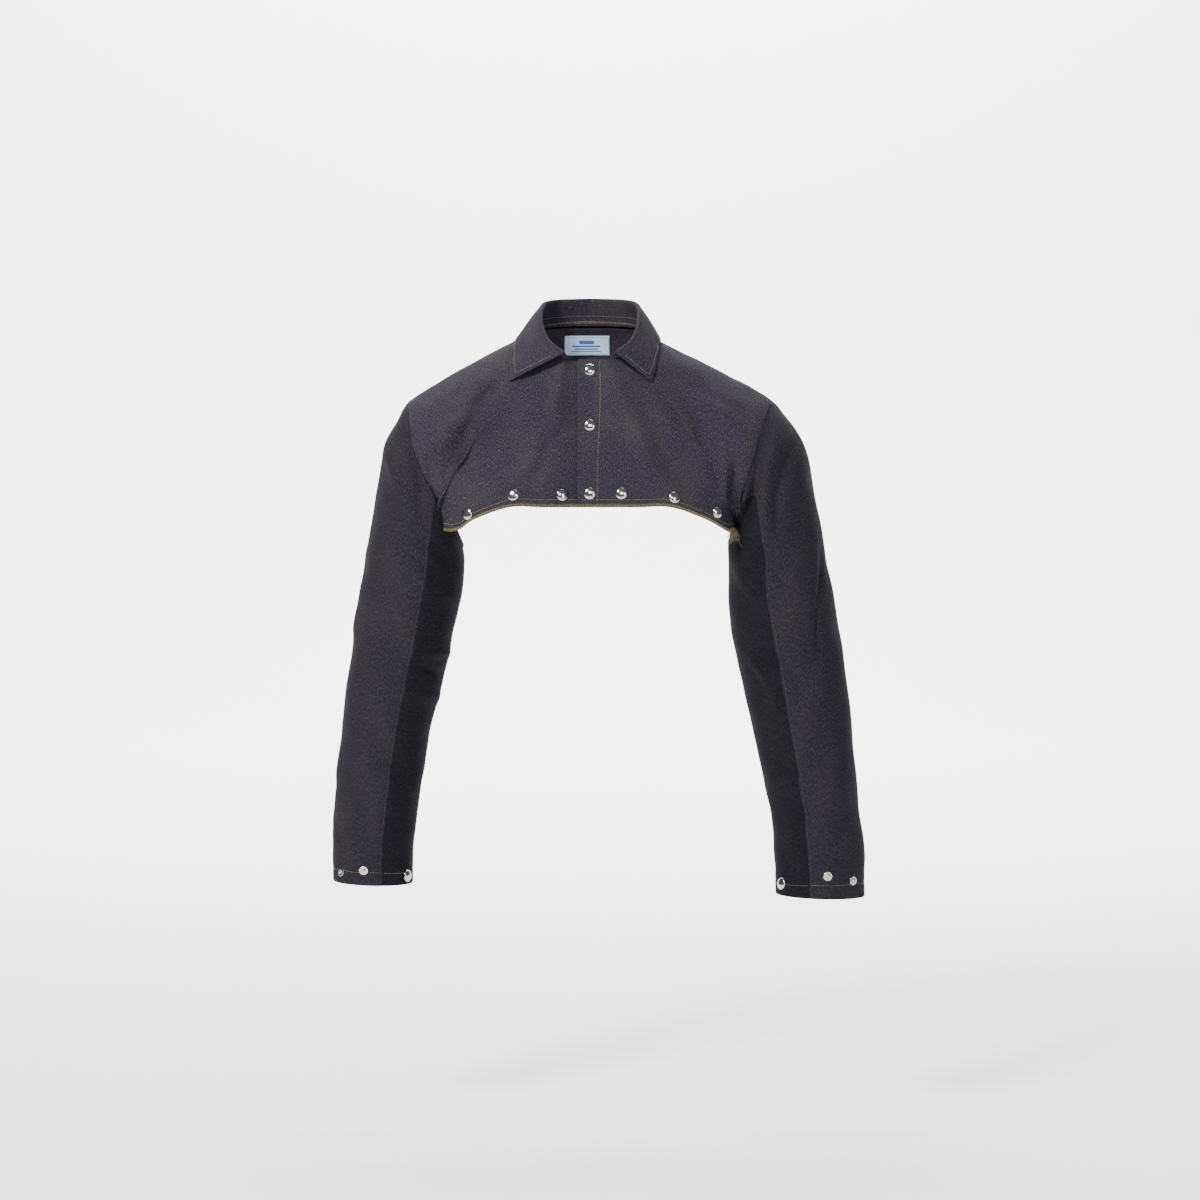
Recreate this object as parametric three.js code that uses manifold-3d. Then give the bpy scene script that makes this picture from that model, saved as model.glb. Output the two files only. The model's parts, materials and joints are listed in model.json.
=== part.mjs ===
// Cape sleeves for welding: a cropped, collared cape that closes in front with press studs, with two
// long two-piece sleeves. Millimetres, +Z up, the wearer faces -Y, so the wearer's left is +X.
// The origin is the middle of the neck, at the height of the shoulders' inner ends.
import * as THREE from "three";
import { mergeVertices } from "three/addons/utils/BufferGeometryUtils.js";
import Module from "manifold-3d";

const wasm = await Module();
wasm.setup();

// ---------- driving dimensions ----------
const CLOTH = 1.6; // a layer of heavy cotton twill with its nap
const COLLAR = 2.4; // the turned-down collar is two layers pressed flat
const TAPE = 0.8; // the woven neck label
const SEAM = 0.5; // room left along each sewn line
const LAYER = 0.6; // room left between two layers that lie on each other
const LAP = 15; // how far the left front passes the centre line
const UNDERLAP = 22; // how far the right front passes it underneath
const LAP_DEPTH = 8.4; // from the middle of the left front's cloth to the middle of the right's
const FACING_IN = 12; // where the front facings end, past the centre line
const EDGING = 5; // height of the overlocked edge along the hem
const CUFF_TURNING = 20; // height of the turning inside each cuff
const COLLAR_END_RAY = 1.35; // the ray of the body pattern at which the collar ends in front
const SLEEVE_SEAM = 107; // degrees from the outside of the arm to each long sleeve seam

// Press studs: radii and heights of the four pressed parts.
const POST_R = 2;
const HOLE_R = 2.4;
const CAP_R = 7.6;
const CAP_H = 3.4;
const CAP_RIM = 0.9;
const SOCKET_R = 6.25;
const SOCKET_H = 2.6;
const SOCKET_BORE = 3.25;
const FLANGE_R = 5.8;
const FLANGE_H = 0.7;
const BALL_R = 2.75;
const BALL_H = 2.3;
const EYELET_R = 6;
const ROUND = 10; // sides of each round part
const DRILL_LENGTH = 14; // long enough for both layers of cloth
const POST_PROUD = 0.4; // a cap's post ends this far inside its socket
const RIVET_PROUD = 0.1; // a stud's post ends this far short of its eyelet's outer face

// ---------- colours and finishes ----------
const finish = {
  cloth: { color: 0x464048, roughness: 0.92, metalness: 0 },
  sleeve: { color: 0x34333b, roughness: 0.92, metalness: 0 },
  lining: { color: 0x2c2e36, roughness: 0.94, metalness: 0 },
  edging: { color: 0x6d6534, roughness: 0.95, metalness: 0 },
  label: { color: 0xb4c8e0, roughness: 0.7, metalness: 0 },
  nickel: { color: 0xc9c9cc, roughness: 0.2, metalness: 1 },
};

const object = new THREE.Group();
const v3 = (x, y, z) => new THREE.Vector3(x, y, z);

// ---------- curves and surfaces ----------
// A smooth curve through numbered points. Each key is [number, ...values].
function through(keys) {
  const at = keys.map((key) => key[0]);
  const values = keys.map((key) => key.slice(1));
  const rise = (i, c) => (values[i + 1][c] - values[i][c]) / (at[i + 1] - at[i]);
  const slopes = values.map((value, i) =>
    value.map((_, c) => {
      if (i === 0) return rise(0, c);
      if (i === keys.length - 1) return rise(i - 1, c);
      const before = at[i] - at[i - 1];
      const after = at[i + 1] - at[i];
      return (after * rise(i - 1, c) + before * rise(i, c)) / (before + after);
    })
  );
  return (k) => {
    let i = 0;
    while (i < keys.length - 2 && k > at[i + 1]) i++;
    const h = at[i + 1] - at[i];
    const s = (k - at[i]) / h;
    const s2 = s * s;
    const s3 = s2 * s;
    return values[i].map(
      (value, c) =>
        value * (2 * s3 - 3 * s2 + 1) +
        slopes[i][c] * h * (s3 - 2 * s2 + s) +
        values[i + 1][c] * (3 * s2 - 2 * s3) +
        slopes[i + 1][c] * h * (s3 - s2)
    );
  };
}

// A surface is { at(u, v), side }: side is 1 or -1, whichever makes its normals face out.
function slope(surface, u, v, du, dv) {
  const a = surface.at(u - du, v - dv);
  return surface.at(u + du, v + dv).sub(a).divideScalar(2 * (du || dv));
}

function normal(surface, u, v) {
  const along = slope(surface, u, v, 1e-3, 0);
  return along.cross(slope(surface, u, v, 0, 1e-3)).normalize().multiplyScalar(surface.side);
}

// The faces of two layered grids of (nu + 1) x (nv + 1) points, joined round the edge.
function closedFaces(nu, nv, ring) {
  const columns = ring ? nu : nu + 1;
  const layer = columns * (nv + 1);
  const id = (i, j, low) => (i % columns) + columns * j + (low ? layer : 0);
  const faces = [];
  const quad = (a, b, c, d) => faces.push(a, b, c, a, c, d);
  for (let j = 0; j < nv; j++) {
    for (let i = 0; i < nu; i++) {
      quad(id(i, j), id(i + 1, j), id(i + 1, j + 1), id(i, j + 1));
      quad(id(i, j, 1), id(i, j + 1, 1), id(i + 1, j + 1, 1), id(i + 1, j, 1));
    }
  }
  for (let i = 0; i < nu; i++) {
    quad(id(i, 0), id(i, 0, 1), id(i + 1, 0, 1), id(i + 1, 0));
    quad(id(i, nv), id(i + 1, nv), id(i + 1, nv, 1), id(i, nv, 1));
  }
  for (let j = 0; j < nv && !ring; j++) {
    quad(id(0, j), id(0, j + 1), id(0, j + 1, 1), id(0, j, 1));
    quad(id(nu, j), id(nu, j, 1), id(nu, j + 1, 1), id(nu, j + 1));
  }
  return faces;
}

// A layer of cloth on a surface. us is the list of u stations, and vs(u) the v stations there.
function layer(surface, us, vs, { depth = 0, thick = CLOTH, ring = false } = {}) {
  const columns = (ring ? us.slice(0, -1) : us).map((u) => vs(u).map((v) => [u, v]));
  const nv = columns[0].length - 1;
  const outer = [];
  const inner = [];
  for (let j = 0; j <= nv; j++) {
    for (const column of columns) {
      const n = normal(surface, ...column[j]);
      const p = surface.at(...column[j]).addScaledVector(n, -depth);
      outer.push(...p.clone().addScaledVector(n, thick / 2).toArray());
      inner.push(...p.addScaledVector(n, -thick / 2).toArray());
    }
  }
  const geometry = new THREE.BufferGeometry();
  geometry.setAttribute("position", new THREE.Float32BufferAttribute([...outer, ...inner], 3));
  geometry.setIndex(closedFaces(us.length - 1, nv, ring));
  if (volume(geometry) < 0) geometry.setIndex(Array.from(geometry.index.array).reverse());
  return geometry;
}

function volume(geometry) {
  const p = geometry.attributes.position;
  const index = geometry.index.array;
  const [a, b, c] = [v3(), v3(), v3()];
  let sum = 0;
  for (let i = 0; i < index.length; i += 3) {
    a.fromBufferAttribute(p, index[i]);
    b.fromBufferAttribute(p, index[i + 1]);
    c.fromBufferAttribute(p, index[i + 2]);
    sum += a.dot(b.cross(c));
  }
  return sum;
}

const evenly = (a, b, n) => Array.from({ length: n + 1 }, (_, i) => a + ((b - a) * i) / n);

// Stations from a to b in n steps, both ends drawn in by half a seam.
function stations(surface, a, b, n, v = 0.5, room = SEAM) {
  const inset = (u) => room / 2 / slope(surface, u, v, 1e-3, 0).length();
  return evenly(a + inset(a), b - inset(b), n);
}

// The v of the point `distance` short of v = end, or past v = start.
function before(surface, u, distance, end = 1) {
  return end - distance / slope(surface, u, end - 2e-3, 0, 1e-3).length();
}

function after(surface, u, distance, start = 0) {
  return start + distance / slope(surface, u, start + 2e-3, 0, 1e-3).length();
}

// ---------- booleans ----------
function solid(geometry) {
  const bare = geometry.clone();
  bare.deleteAttribute("normal");
  bare.deleteAttribute("uv");
  const merged = mergeVertices(bare, 1e-4);
  const vertProperties = new Float32Array(merged.attributes.position.array);
  const triVerts = new Uint32Array(merged.index.array);
  return new wasm.Manifold(new wasm.Mesh({ numProp: 3, vertProperties, triVerts }));
}

function geometryOf(manifold) {
  const mesh = manifold.getMesh();
  const geometry = new THREE.BufferGeometry();
  geometry.setAttribute("position", new THREE.Float32BufferAttribute(mesh.vertProperties, 3));
  geometry.setIndex(Array.from(mesh.triVerts));
  return geometry;
}

// Cuts a round hole for a press stud's post at each spot.
function punch(geometry, spots) {
  let left = solid(geometry);
  for (const spot of spots) {
    const drill = new THREE.CylinderGeometry(HOLE_R, HOLE_R, DRILL_LENGTH, ROUND);
    drill.rotateX(Math.PI / 2);
    drill.applyMatrix4(spot);
    left = left.subtract(solid(drill));
  }
  return geometryOf(left);
}

function add(name, geometry, look, place) {
  const mesh = new THREE.Mesh(geometry, new THREE.MeshStandardMaterial(finish[look]));
  mesh.name = name;
  if (place) mesh.applyMatrix4(place);
  object.add(mesh);
}

// ---------- the body pattern ----------
// Each half of the body is a fan of rays from the neckline to its outer edge, numbered from the front
// edge (0) past the underarm (6) and the shoulder tip (12) and the underarm again (18) to the centre
// back (23). t runs from 0 at the neckline to 1 at the outer edge. x counts outwards here.
const RAY_UNDERARM = 6;
const RAY_SHOULDER = 12;
const RAY_UNDERARM_BACK = 18;
const RAY_BACK = 23;
const DEGREES_PER_RAY = 30; // round the armhole, from the shoulder tip
const NECK_HALF = 78;
const NECK_FRONT = [-75, -20]; // y and z of the neckline at the centre front
const HEM_FRONT = [-114, -202]; // y and z of the hem there

const NECK_DROP = { left: 5, right: 0 }; // the left shoulder hangs a little lower at the neck

const neckline = (edge, drop) => [
  [0, edge, ...NECK_FRONT],
  [1, 16, ...NECK_FRONT],
  [3, 39, -65, -15],
  [6, 60, -43, -5],
  [9, 73, -20, 5 - drop / 2],
  [12, NECK_HALF, 0, 12 - drop],
  [15, 73, 24, 16 - drop / 2],
  [18, 59, 44, 19],
  [21, 26, 60, 22],
  [23, 0, 63, 22],
];
const hemFront = (edge, [underarmFront, corner]) => [
  [0, edge, ...HEM_FRONT],
  [1, 14, ...HEM_FRONT],
  [2, 58, -113, -202],
  [3, 98, -109, -202],
  [4, 140, -98, -216],
  [5, 174, -84, -233],
  [5.5, ...underarmFront],
  [6, ...corner],
];
const hemBack = (corner) => [
  [18, ...corner],
  [19, 176, 66, -230],
  [20, 140, 88, -214],
  [21, 96, 101, -204],
  [22, 48, 107, -200],
  [23, 0, 108, -199],
];
// From the neckline a ray sets off by the first handle, and it comes into its end by the second.
const setOff = [
  [0, 0, -14, -50],
  [4, 24, -22, -34],
  [6, 36, -32, -28],
  [9, 42, -24, -24],
  [12, 50, 0, -25],
  [15, 38, 26, -18],
  [18, 30, 34, -22],
  [20, 14, 34, -30],
  [23, 0, 32, -38],
];
const comeIn = [
  [0, 0, 1, 56],
  [4, -14, -2, 56],
  [5, -20, -10, 58],
  [6, -16, -20, 58],
  [7, -24, -24, 52],
  [9, -46, -26, 38],
  [12, -50, 0, 31],
  [15, -44, 22, 40],
  [16, -34, 22, 48],
  [17, -24, 26, 52],
  [18, -14, 28, 60],
  [19, -14, 22, 60],
  [20, -10, 10, 60],
  [23, 0, 4, 60],
];
// Under the arm the last part of a ray is tucked back towards the middle of the arm.
const tuck = [
  [0, 0],
  [4, 0],
  [5, 8],
  [5.5, 26],
  [6, 54],
  [7, 21],
  [8, 4],
  [9, 0],
  [15, 0],
  [16, -2],
  [17, -24],
  [18, -76],
  [19, -8],
  [20, 0],
  [23, 0],
];
const TUCK_FROM = 0.8;
const UNDERARM_FRONT = { left: [181, -80, -232], right: [197, -80, -229] };
const armholes = {
  left: [
    [6, 182, -78, -236],
    [7, 186, -78, -218],
    [8, 189, -80, -190],
    [9, 199, -81, -155],
    [10, 210, -70, -117],
    [11, 221, -42, -87],
    [12, 229, 0, -70],
    [13, 227, 42, -86],
    [14, 221, 70, -119],
    [15, 213, 82, -155],
    [16, 205, 82, -190],
    [17, 195, 70, -222],
    [18, 182, 60, -236],
  ],
  right: [
    [6, 199, -78, -232],
    [7, 208, -78, -216],
    [8, 212, -80, -190],
    [9, 215, -81, -155],
    [10, 221, -70, -119],
    [11, 226, -42, -89],
    [12, 229, 0, -72],
    [13, 228, 42, -87],
    [14, 224, 70, -119],
    [15, 218, 82, -155],
    [16, 213, 82, -190],
    [17, 207, 70, -220],
    [18, 199, 60, -232],
  ],
};

function bodyHalf(name) {
  const sign = name === "left" ? 1 : -1;
  const edge = name === "left" ? -LAP : -UNDERLAP;
  const corners = [armholes[name][0].slice(1), armholes[name][12].slice(1)];
  const neck = through(neckline(edge, NECK_DROP[name]));
  const front = hemFront(edge, [UNDERARM_FRONT[name], corners[0]]);
  const rims = [front, armholes[name], hemBack(corners[1])].map(through);
  const [off, into, back] = [setOff, comeIn, tuck].map(through);
  const along = (k, t) => {
    const rim = rims[k <= RAY_UNDERARM ? 0 : k <= RAY_UNDERARM_BACK ? 1 : 2](k);
    const [leave, arrive] = [off(k), into(k)];
    const s = 1 - t;
    const [x, y, z] = neck(k).map((start, c) => {
      const early = start + leave[c];
      const late = rim[c] + arrive[c];
      return start * s * s * s + 3 * early * s * s * t + 3 * late * s * t * t + rim[c] * t * t * t;
    });
    return v3(x, y + back(k)[0] * THREE.MathUtils.smoothstep(t, TUCK_FROM, 1), z);
  };
  // Before ray 1 the cloth runs straight across the centre, so that the two fronts lap evenly.
  const at = (k, t) => {
    const p = along(Math.max(k, 1), t);
    if (k < 1) p.x = edge + (p.x - edge) * k;
    p.x *= sign;
    return p;
  };
  const half = { at, side: -sign, sign };
  if (name === "left") return half;
  // The right front drops behind the left one where they lap.
  const drop = (k) => LAP_DEPTH * (1 - THREE.MathUtils.smoothstep(k, 1, 2));
  const behind = (k, t) => at(k, t).addScaledVector(normal(half, k, t), -drop(k));
  return { ...half, at: (k, t) => (k < 2 ? behind(k, t) : at(k, t)) };
}

const body = { left: bodyHalf("left"), right: bodyHalf("right") };

// The ray and t of the point that lies at x and z, found from a first guess by Newton's method.
function find(surface, x, z, u, v) {
  for (let step = 0; step < 12; step++) {
    const p = surface.at(u, v);
    const du = slope(surface, u, v, 1e-3, 0);
    const dv = slope(surface, u, v, 0, 1e-3);
    const det = du.x * dv.z - dv.x * du.z;
    u += ((x - p.x) * dv.z - (z - p.z) * dv.x) / det;
    v += ((z - p.z) * du.x - (x - p.x) * du.z) / det;
  }
  return [u, v];
}

// A matrix that stands +Z on the surface's outward normal, `depth` below its middle.
function standing(surface, u, v) {
  const turn = new THREE.Quaternion().setFromUnitVectors(v3(0, 0, 1), normal(surface, u, v));
  return new THREE.Matrix4().compose(surface.at(u, v), turn, v3(1, 1, 1));
}

// ---------- press studs ----------
// Each is turned about +Z, which points out of the cloth, with z = 0 at the middle of the outer layer.
// Between the cloth and the parts, there is more room where a flat part bears on curved cloth.
const OUTER_ROOM = { flat: 0.3, round: 0.7 };
const INNER_ROOM = { flat: 0.5, round: 1.6 };
function lathe(points) {
  const profile = points.map(([x, y]) => new THREE.Vector2(x, y));
  return new THREE.LatheGeometry(profile, ROUND).rotateX(Math.PI / 2);
}

function cap(face, postEnd) {
  const rim = face + CAP_RIM;
  const crown = face + CAP_H;
  return lathe([
    [0, postEnd],
    [POST_R, postEnd],
    [POST_R, face],
    [CAP_R, face],
    [CAP_R, rim],
    [CAP_R * 0.82, rim + (crown - rim) * 0.62],
    [CAP_R * 0.45, rim + (crown - rim) * 0.93],
    [0, crown],
  ]);
}

function socket(top) {
  const low = top - SOCKET_H;
  return lathe([
    [HOLE_R, top],
    [HOLE_R, top - 0.5],
    [SOCKET_BORE, top - 0.5],
    [SOCKET_BORE, low],
    [SOCKET_R - 1.2, low],
    [SOCKET_R, low + 1.4],
    [SOCKET_R, top],
    [HOLE_R, top],
  ]);
}

function stud(face, postEnd) {
  const flange = face + FLANGE_H;
  return lathe([
    [0, postEnd],
    [POST_R, postEnd],
    [POST_R, face],
    [FLANGE_R, face],
    [FLANGE_R, flange],
    [BALL_R - 0.5, flange],
    [BALL_R, flange + BALL_H * 0.6],
    [BALL_R - 0.7, flange + BALL_H],
    [0, flange + BALL_H],
  ]);
}

function eyelet(top) {
  const low = top - FLANGE_H;
  return lathe([
    [HOLE_R, top],
    [HOLE_R, low],
    [EYELET_R - 0.3, low],
    [EYELET_R, top],
    [HOLE_R, top],
  ]);
}

const outerFace = (fit) => CLOTH / 2 + OUTER_ROOM[fit];
const innerFace = (layers, fit) => -CLOTH / 2 - (layers - 1) * (CLOTH + LAYER) - INNER_ROOM[fit];

// A cap outside and its socket inside, riveted through that many layers of cloth.
function capAndSocket(name, spot, layers, fit) {
  const top = innerFace(layers, fit);
  add(`${name}_cap`, cap(outerFace(fit), top - POST_PROUD), "nickel", spot);
  add(`${name}_socket`, socket(top), "nickel", spot);
}

// A stud outside and its eyelet inside.
function studAndEyelet(name, spot, layers, fit) {
  const top = innerFace(layers, fit);
  add(`${name}_stud`, stud(outerFace(fit), top - FLANGE_H + RIVET_PROUD), "nickel", spot);
  add(`${name}_eyelet`, eyelet(top), "nickel", spot);
}

// ---------- where the press studs go ----------
const CLOSURE_HEIGHTS = { top: -33, middle: -101, bottom: -185 };
const HEM_SNAPS = {
  left: { inner: [39, -185], middle: [104, -190], outer: [158, -209] },
  right: { inner: [34, -187], middle: [94, -187], outer: [151, -211] },
};
const spotsAt = (name, list) =>
  list.map(([x, z]) => {
    const side = body[name];
    const [u, v] = find(side, side.sign * x, z, 1 + x / 40, 0.8);
    return standing(side, u, v);
  });
const heights = Object.values(CLOSURE_HEIGHTS);
const closureLeft = spotsAt("left", heights.map((z) => [0, z]));
const behind = new THREE.Matrix4().makeTranslation(0, 0, -LAP_DEPTH);
const closure = { left: closureLeft, right: closureLeft.map((spot) => spot.clone().multiply(behind)) };
const hemSpots = {
  left: spotsAt("left", Object.values(HEM_SNAPS.left)),
  right: spotsAt("right", Object.values(HEM_SNAPS.right)),
};

// ---------- the fold along which each front opens ----------
// A plane through the neckline near the shoulder, the hem, and the inside of the body.
const FOLD_NECK = [76, -10, 8];
const FOLD_HEM = [141, -98, -214];
const FOLD_INSIDE = [20, 40, -100];
const foldPlane = (sign) => {
  const [neck, hem, inside] = [FOLD_NECK, FOLD_HEM, FOLD_INSIDE].map(([x, y, z]) => v3(sign * x, y, z));
  return new THREE.Plane().setFromCoplanarPoints(neck, hem, inside);
};

// The u at which a surface's line of constant v crosses the fold.
function crossing(surface, plane, low, high, v) {
  const start = Math.sign(plane.distanceToPoint(surface.at(low, v)));
  for (let step = 0; step < 30; step++) {
    const middle = (low + high) / 2;
    if (Math.sign(plane.distanceToPoint(surface.at(middle, v))) === start) low = middle;
    else high = middle;
  }
  return (low + high) / 2;
}

// The two parts of a surface on either side of the fold, each with u running from 0 to 1 across it.
function splitAtFold(surface, sign, first, last, low, high) {
  const plane = foldPlane(sign);
  const fold = (v) => crossing(surface, plane, low, high, v);
  const near = { ...surface, at: (s, v) => surface.at(first + (fold(v) - first) * s, v) };
  const far = { ...surface, at: (s, v) => surface.at(fold(v) + (last - fold(v)) * s, v) };
  return [near, far];
}

// ---------- body panels, facings and edgings ----------
const NECK_SEAM = 1.2; // the body's panels stop this far short of the neckline
const backHem = stations(body.left, RAY_UNDERARM_BACK + 0.3, RAY_BACK, 6, 1);
for (const name of ["left", "right"]) {
  const side = body[name];
  const [inner, middle, outer] = hemSpots[name];
  const [flapSurface, sideSurface] = splitAtFold(side, side.sign, 0, RAY_SHOULDER, 2, 11);
  const panelStations = (surface, hemmed, n) => (u) => {
    const end = before(surface, u, hemmed(u) ? EDGING + SEAM : SEAM / 2);
    return evenly(after(surface, u, NECK_SEAM), end, n);
  };
  const always = () => true;

  const flap = layer(flapSurface, stations(flapSurface, 0, 1, 9), panelStations(flapSurface, always, 8));
  add(`${name}_front`, punch(flap, [...closure[name], inner, middle]), "cloth");

  const foldRay = crossing(side, foldPlane(side.sign), 2, 11, 1);
  const cornerAt = (RAY_UNDERARM - foldRay) / (RAY_SHOULDER - foldRay);
  const hemStations = stations(sideSurface, 0, cornerAt - 0.06, 5, 1);
  const armholeStations = stations(sideSurface, cornerAt + 0.03, 1, 8);
  const frontEnds = panelStations(sideSurface, (u) => u < cornerAt - 0.03, 8);
  const frontSide = layer(sideSurface, [...hemStations, cornerAt, ...armholeStations], frontEnds);
  add(`${name}_front_side`, punch(frontSide, [outer]), "cloth");

  const backArmhole = stations(side, RAY_SHOULDER, RAY_UNDERARM_BACK - 0.2, 8);
  const backStations = [...backArmhole, RAY_UNDERARM_BACK, ...backHem];
  const back = layer(side, backStations, panelStations(side, (u) => u >= backHem[0], 7));
  add(`${name}_back`, back, "cloth");

  const facingEnd = find(side, side.sign * FACING_IN, -110, 1, 0.5)[0];
  const behind = { depth: CLOTH + LAYER };
  const facing = layer(side, stations(side, 0, facingEnd, 3), panelStations(side, always, 8), behind);
  add(`${name}_front_facing`, punch(facing, closure[name]), "lining");

  const edge = (surface) => (u) => [before(surface, u, EDGING), 1];
  const flapHem = stations(flapSurface, 0, 1, 9, 1);
  add(`${name}_front_edging`, layer(flapSurface, flapHem, edge(flapSurface)), "edging");
  add(`${name}_side_edging`, layer(sideSurface, hemStations, edge(sideSurface)), "edging");
}

// The back of the hem runs from one underarm across the centre back to the other.
const acrossBack = {
  side: 1,
  at: (u, v) => (u < 0 ? body.right.at(RAY_BACK + u, v) : body.left.at(RAY_BACK - u, v)),
};
const fromCentre = backHem.map((ray) => RAY_BACK - ray);
const acrossStations = [...fromCentre.slice(0, -1).map((u) => -u), 0, ...fromCentre.slice(0, -1).reverse()];
add("back_edging", layer(acrossBack, acrossStations, (u) => [before(acrossBack, u, EDGING), 1]), "edging");

// ---------- collar ----------
// It rises from the neckline, rolls over at the fold and falls outside to an edge that lies on the body.
// Every table is numbered by the neckline's rays.
const ROLL_R = 2.2;
const COLLAR_LIFT = 2.8; // from the middle of the body's cloth to the middle of the collar's
const COLLAR_FOOT = 1.4; // the collar's seam above the neckline
const COLLAR_BULGE = 1.5; // how far the fall stands out halfway down
const rollLine = through([
  [1.35, 31, -79, -13],
  [4, 48, -62, 0],
  [6.5, 57, -43, 17],
  [9, 60, -20, 34],
  [12, 59, 4, 46],
  [15, 54, 26, 52],
  [18, 42, 45, 55],
  [23, 0, 60, 57],
]);
// The point of the body that the fall's edge lies over, as a ray and t. The left end is cut steeper.
const collarEdge = {
  left: [
    [1.35, 4.4, 0.25],
    [3.7, 5.8, 0.18],
    [6, 7.9, 0.125],
    [9, 9.8, 0.09],
  ],
  right: [
    [1.35, 6.1, 0.27],
    [3.7, 7.4, 0.225],
    [6, 8.6, 0.19],
    [9, 10.3, 0.135],
  ],
  behind: [
    [12, 12, 0.06],
    [15, 14.8, 0.09],
    [18, 18, 0.13],
    [23, 23, 0.1],
  ],
};
const NECK_CENTRE_Y = -8;

// v runs from 0 to 1 up the stand, to 2 round the roll and to 3 down the fall.
function collarHalf(name) {
  const side = body[name];
  const edgeOnBody = through([...collarEdge[name], ...collarEdge.behind]);
  const at = (k, v) => {
    const foot = side.at(k, 0).add(v3(0, 0, COLLAR_FOOT));
    const [x, y, z] = rollLine(k);
    const roll = v3(side.sign * x, y, z);
    const out = v3(roll.x, y - NECK_CENTRE_Y, 0).normalize();
    if (v <= 1) return foot.lerp(roll, v);
    const turn = Math.PI * (v - 1);
    const over = (a) => {
      const outwards = roll.clone().addScaledVector(out, ROLL_R * (1 - Math.cos(a)));
      return outwards.add(v3(0, 0, ROLL_R * Math.sin(a)));
    };
    if (v <= 2) return over(turn);
    const [ray, t] = edgeOnBody(k);
    const edge = side.at(ray, t).addScaledVector(normal(side, ray, t), COLLAR_LIFT);
    const w = v - 2;
    return over(Math.PI).lerp(edge, w).addScaledVector(out, 4 * COLLAR_BULGE * w * (1 - w));
  };
  return { at, side: side.side, sign: side.sign };
}
const collarStations = [...evenly(0.03, 1, 2), 1.33, 1.67, ...evenly(2, 3, 4)];
const COLLAR_SEAM = 0.9;

const collar = { left: collarHalf("left"), right: collarHalf("right") };
for (const name of ["left", "right"]) {
  const half = collar[name];
  const [front] = splitAtFold(half, half.sign, COLLAR_END_RAY, RAY_SHOULDER, 2, 16);
  const along = stations(front, 0, 1, 8, 1.5, COLLAR_SEAM);
  add(`${name}_collar`, layer(front, along, () => collarStations, { thick: COLLAR }), "cloth");
}
const collarBack = (() => {
  const at = (u, v) => {
    const half = u < 0 ? collar.right : collar.left;
    const fold = crossing(half, foldPlane(half.sign), 2, 16, v);
    return half.at(RAY_BACK - Math.abs(u) * (RAY_BACK - fold), v);
  };
  return { at, side: 1 };
})();
const backAlong = stations(collarBack, -1, 1, 18, 1.5, COLLAR_SEAM);
add("back_collar", layer(collarBack, backAlong, () => collarStations, { thick: COLLAR }), "cloth");

// ---------- neck label ----------
const LABEL = { left: -33, right: 25, top: 14, bottom: -11 };
const labelSurface = {
  side: -1,
  at: (x, z) => {
    const half = x < 0 ? body.right : body.left;
    return half.at(...find(half, x, z, RAY_BACK - Math.abs(x) / 12, 0.12));
  },
};
const LABEL_ROOM = 2; // the label is sewn along its edges and stands off the hollow of the neck
const labelDepth = CLOTH / 2 + LABEL_ROOM + TAPE / 2;
add(
  "neck_label",
  layer(labelSurface, evenly(LABEL.left, LABEL.right, 8), () => evenly(LABEL.top, LABEL.bottom, 4), {
    depth: labelDepth,
    thick: TAPE,
  }),
  "label"
);

// ---------- sleeves ----------
// Rings round the arm: the outermost and innermost points in x and z, the half depth and the middle's y.
// Ring 0 is the armhole. Angles run from the outside of the arm (0) over its front (90) to the inside.
const sleeveRings = {
  left: [
    [1, 268, -119, 181, -247, 82, -2],
    [2, 286, -206, 176, -285, 78, -4],
    [3, 306, -305, 175, -335, 72, -6],
    [4, 321, -395, 187, -405, 67, -8],
    [5, 330, -478, 206, -484, 61, -10],
    [6, 339, -565, 223, -567, 56, -13],
    [7, 346, -640, 232, -640, 51, -16],
    [8, 347, -695, 235, -692, 48, -18],
  ],
  right: [
    [1, 255, -122, 190, -250, 82, -2],
    [2, 271, -206, 163, -285, 78, -4],
    [3, 288, -305, 168, -335, 72, -6],
    [4, 302, -395, 183, -405, 67, -8],
    [5, 311, -478, 203, -484, 61, -10],
    [6, 320, -560, 214, -562, 56, -13],
    [7, 324, -626, 223, -626, 51, -16],
    [8, 324, -675, 224, -678, 48, -18],
  ],
};
const LAST_RING = 8;
const UNDERARM_ROOM = 4; // the cloth turns sharply where the sleeve is sewn in under the arm
const ARMHOLE_ROOM = 1;
const EASE = 25; // degrees by which the sleeve's threads climb from the armhole's sides to its top
const radians = (degrees) => (degrees * Math.PI) / 180;

// The angle on the armhole of the thread that runs at `round` degrees down the arm.
function threadAt(round) {
  let angle = round;
  for (let step = 0; step < 20; step++) angle = round + EASE * Math.sin(radians(angle));
  return angle;
}

function sleeve(name) {
  const side = body[name];
  const at = (angle, v) => {
    const turned = angle > 180 ? angle - 360 : angle;
    const start = side.at(RAY_SHOULDER - turned / DEGREES_PER_RAY, 1);
    start.z -= (UNDERARM_ROOM * (1 - Math.cos(radians(angle)))) / 2;
    const round = radians(angle) - radians(EASE) * Math.sin(radians(angle));
    const [cos, sin] = [Math.cos(round), Math.sin(round)];
    const rings = sleeveRings[name].map(([ring, outX, outZ, inX, inZ, deep, y]) => [
      ring,
      (outX + inX) / 2 + (cos * (outX - inX)) / 2,
      y - sin * deep,
      (outZ + inZ) / 2 + (cos * (outZ - inZ)) / 2,
    ]);
    const [x, y, z] = through([[0, side.sign * start.x, start.y, start.z], ...rings])(v);
    return v3(side.sign * x, y, z);
  };
  return { at, side: side.sign, sign: side.sign };
}

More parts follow.
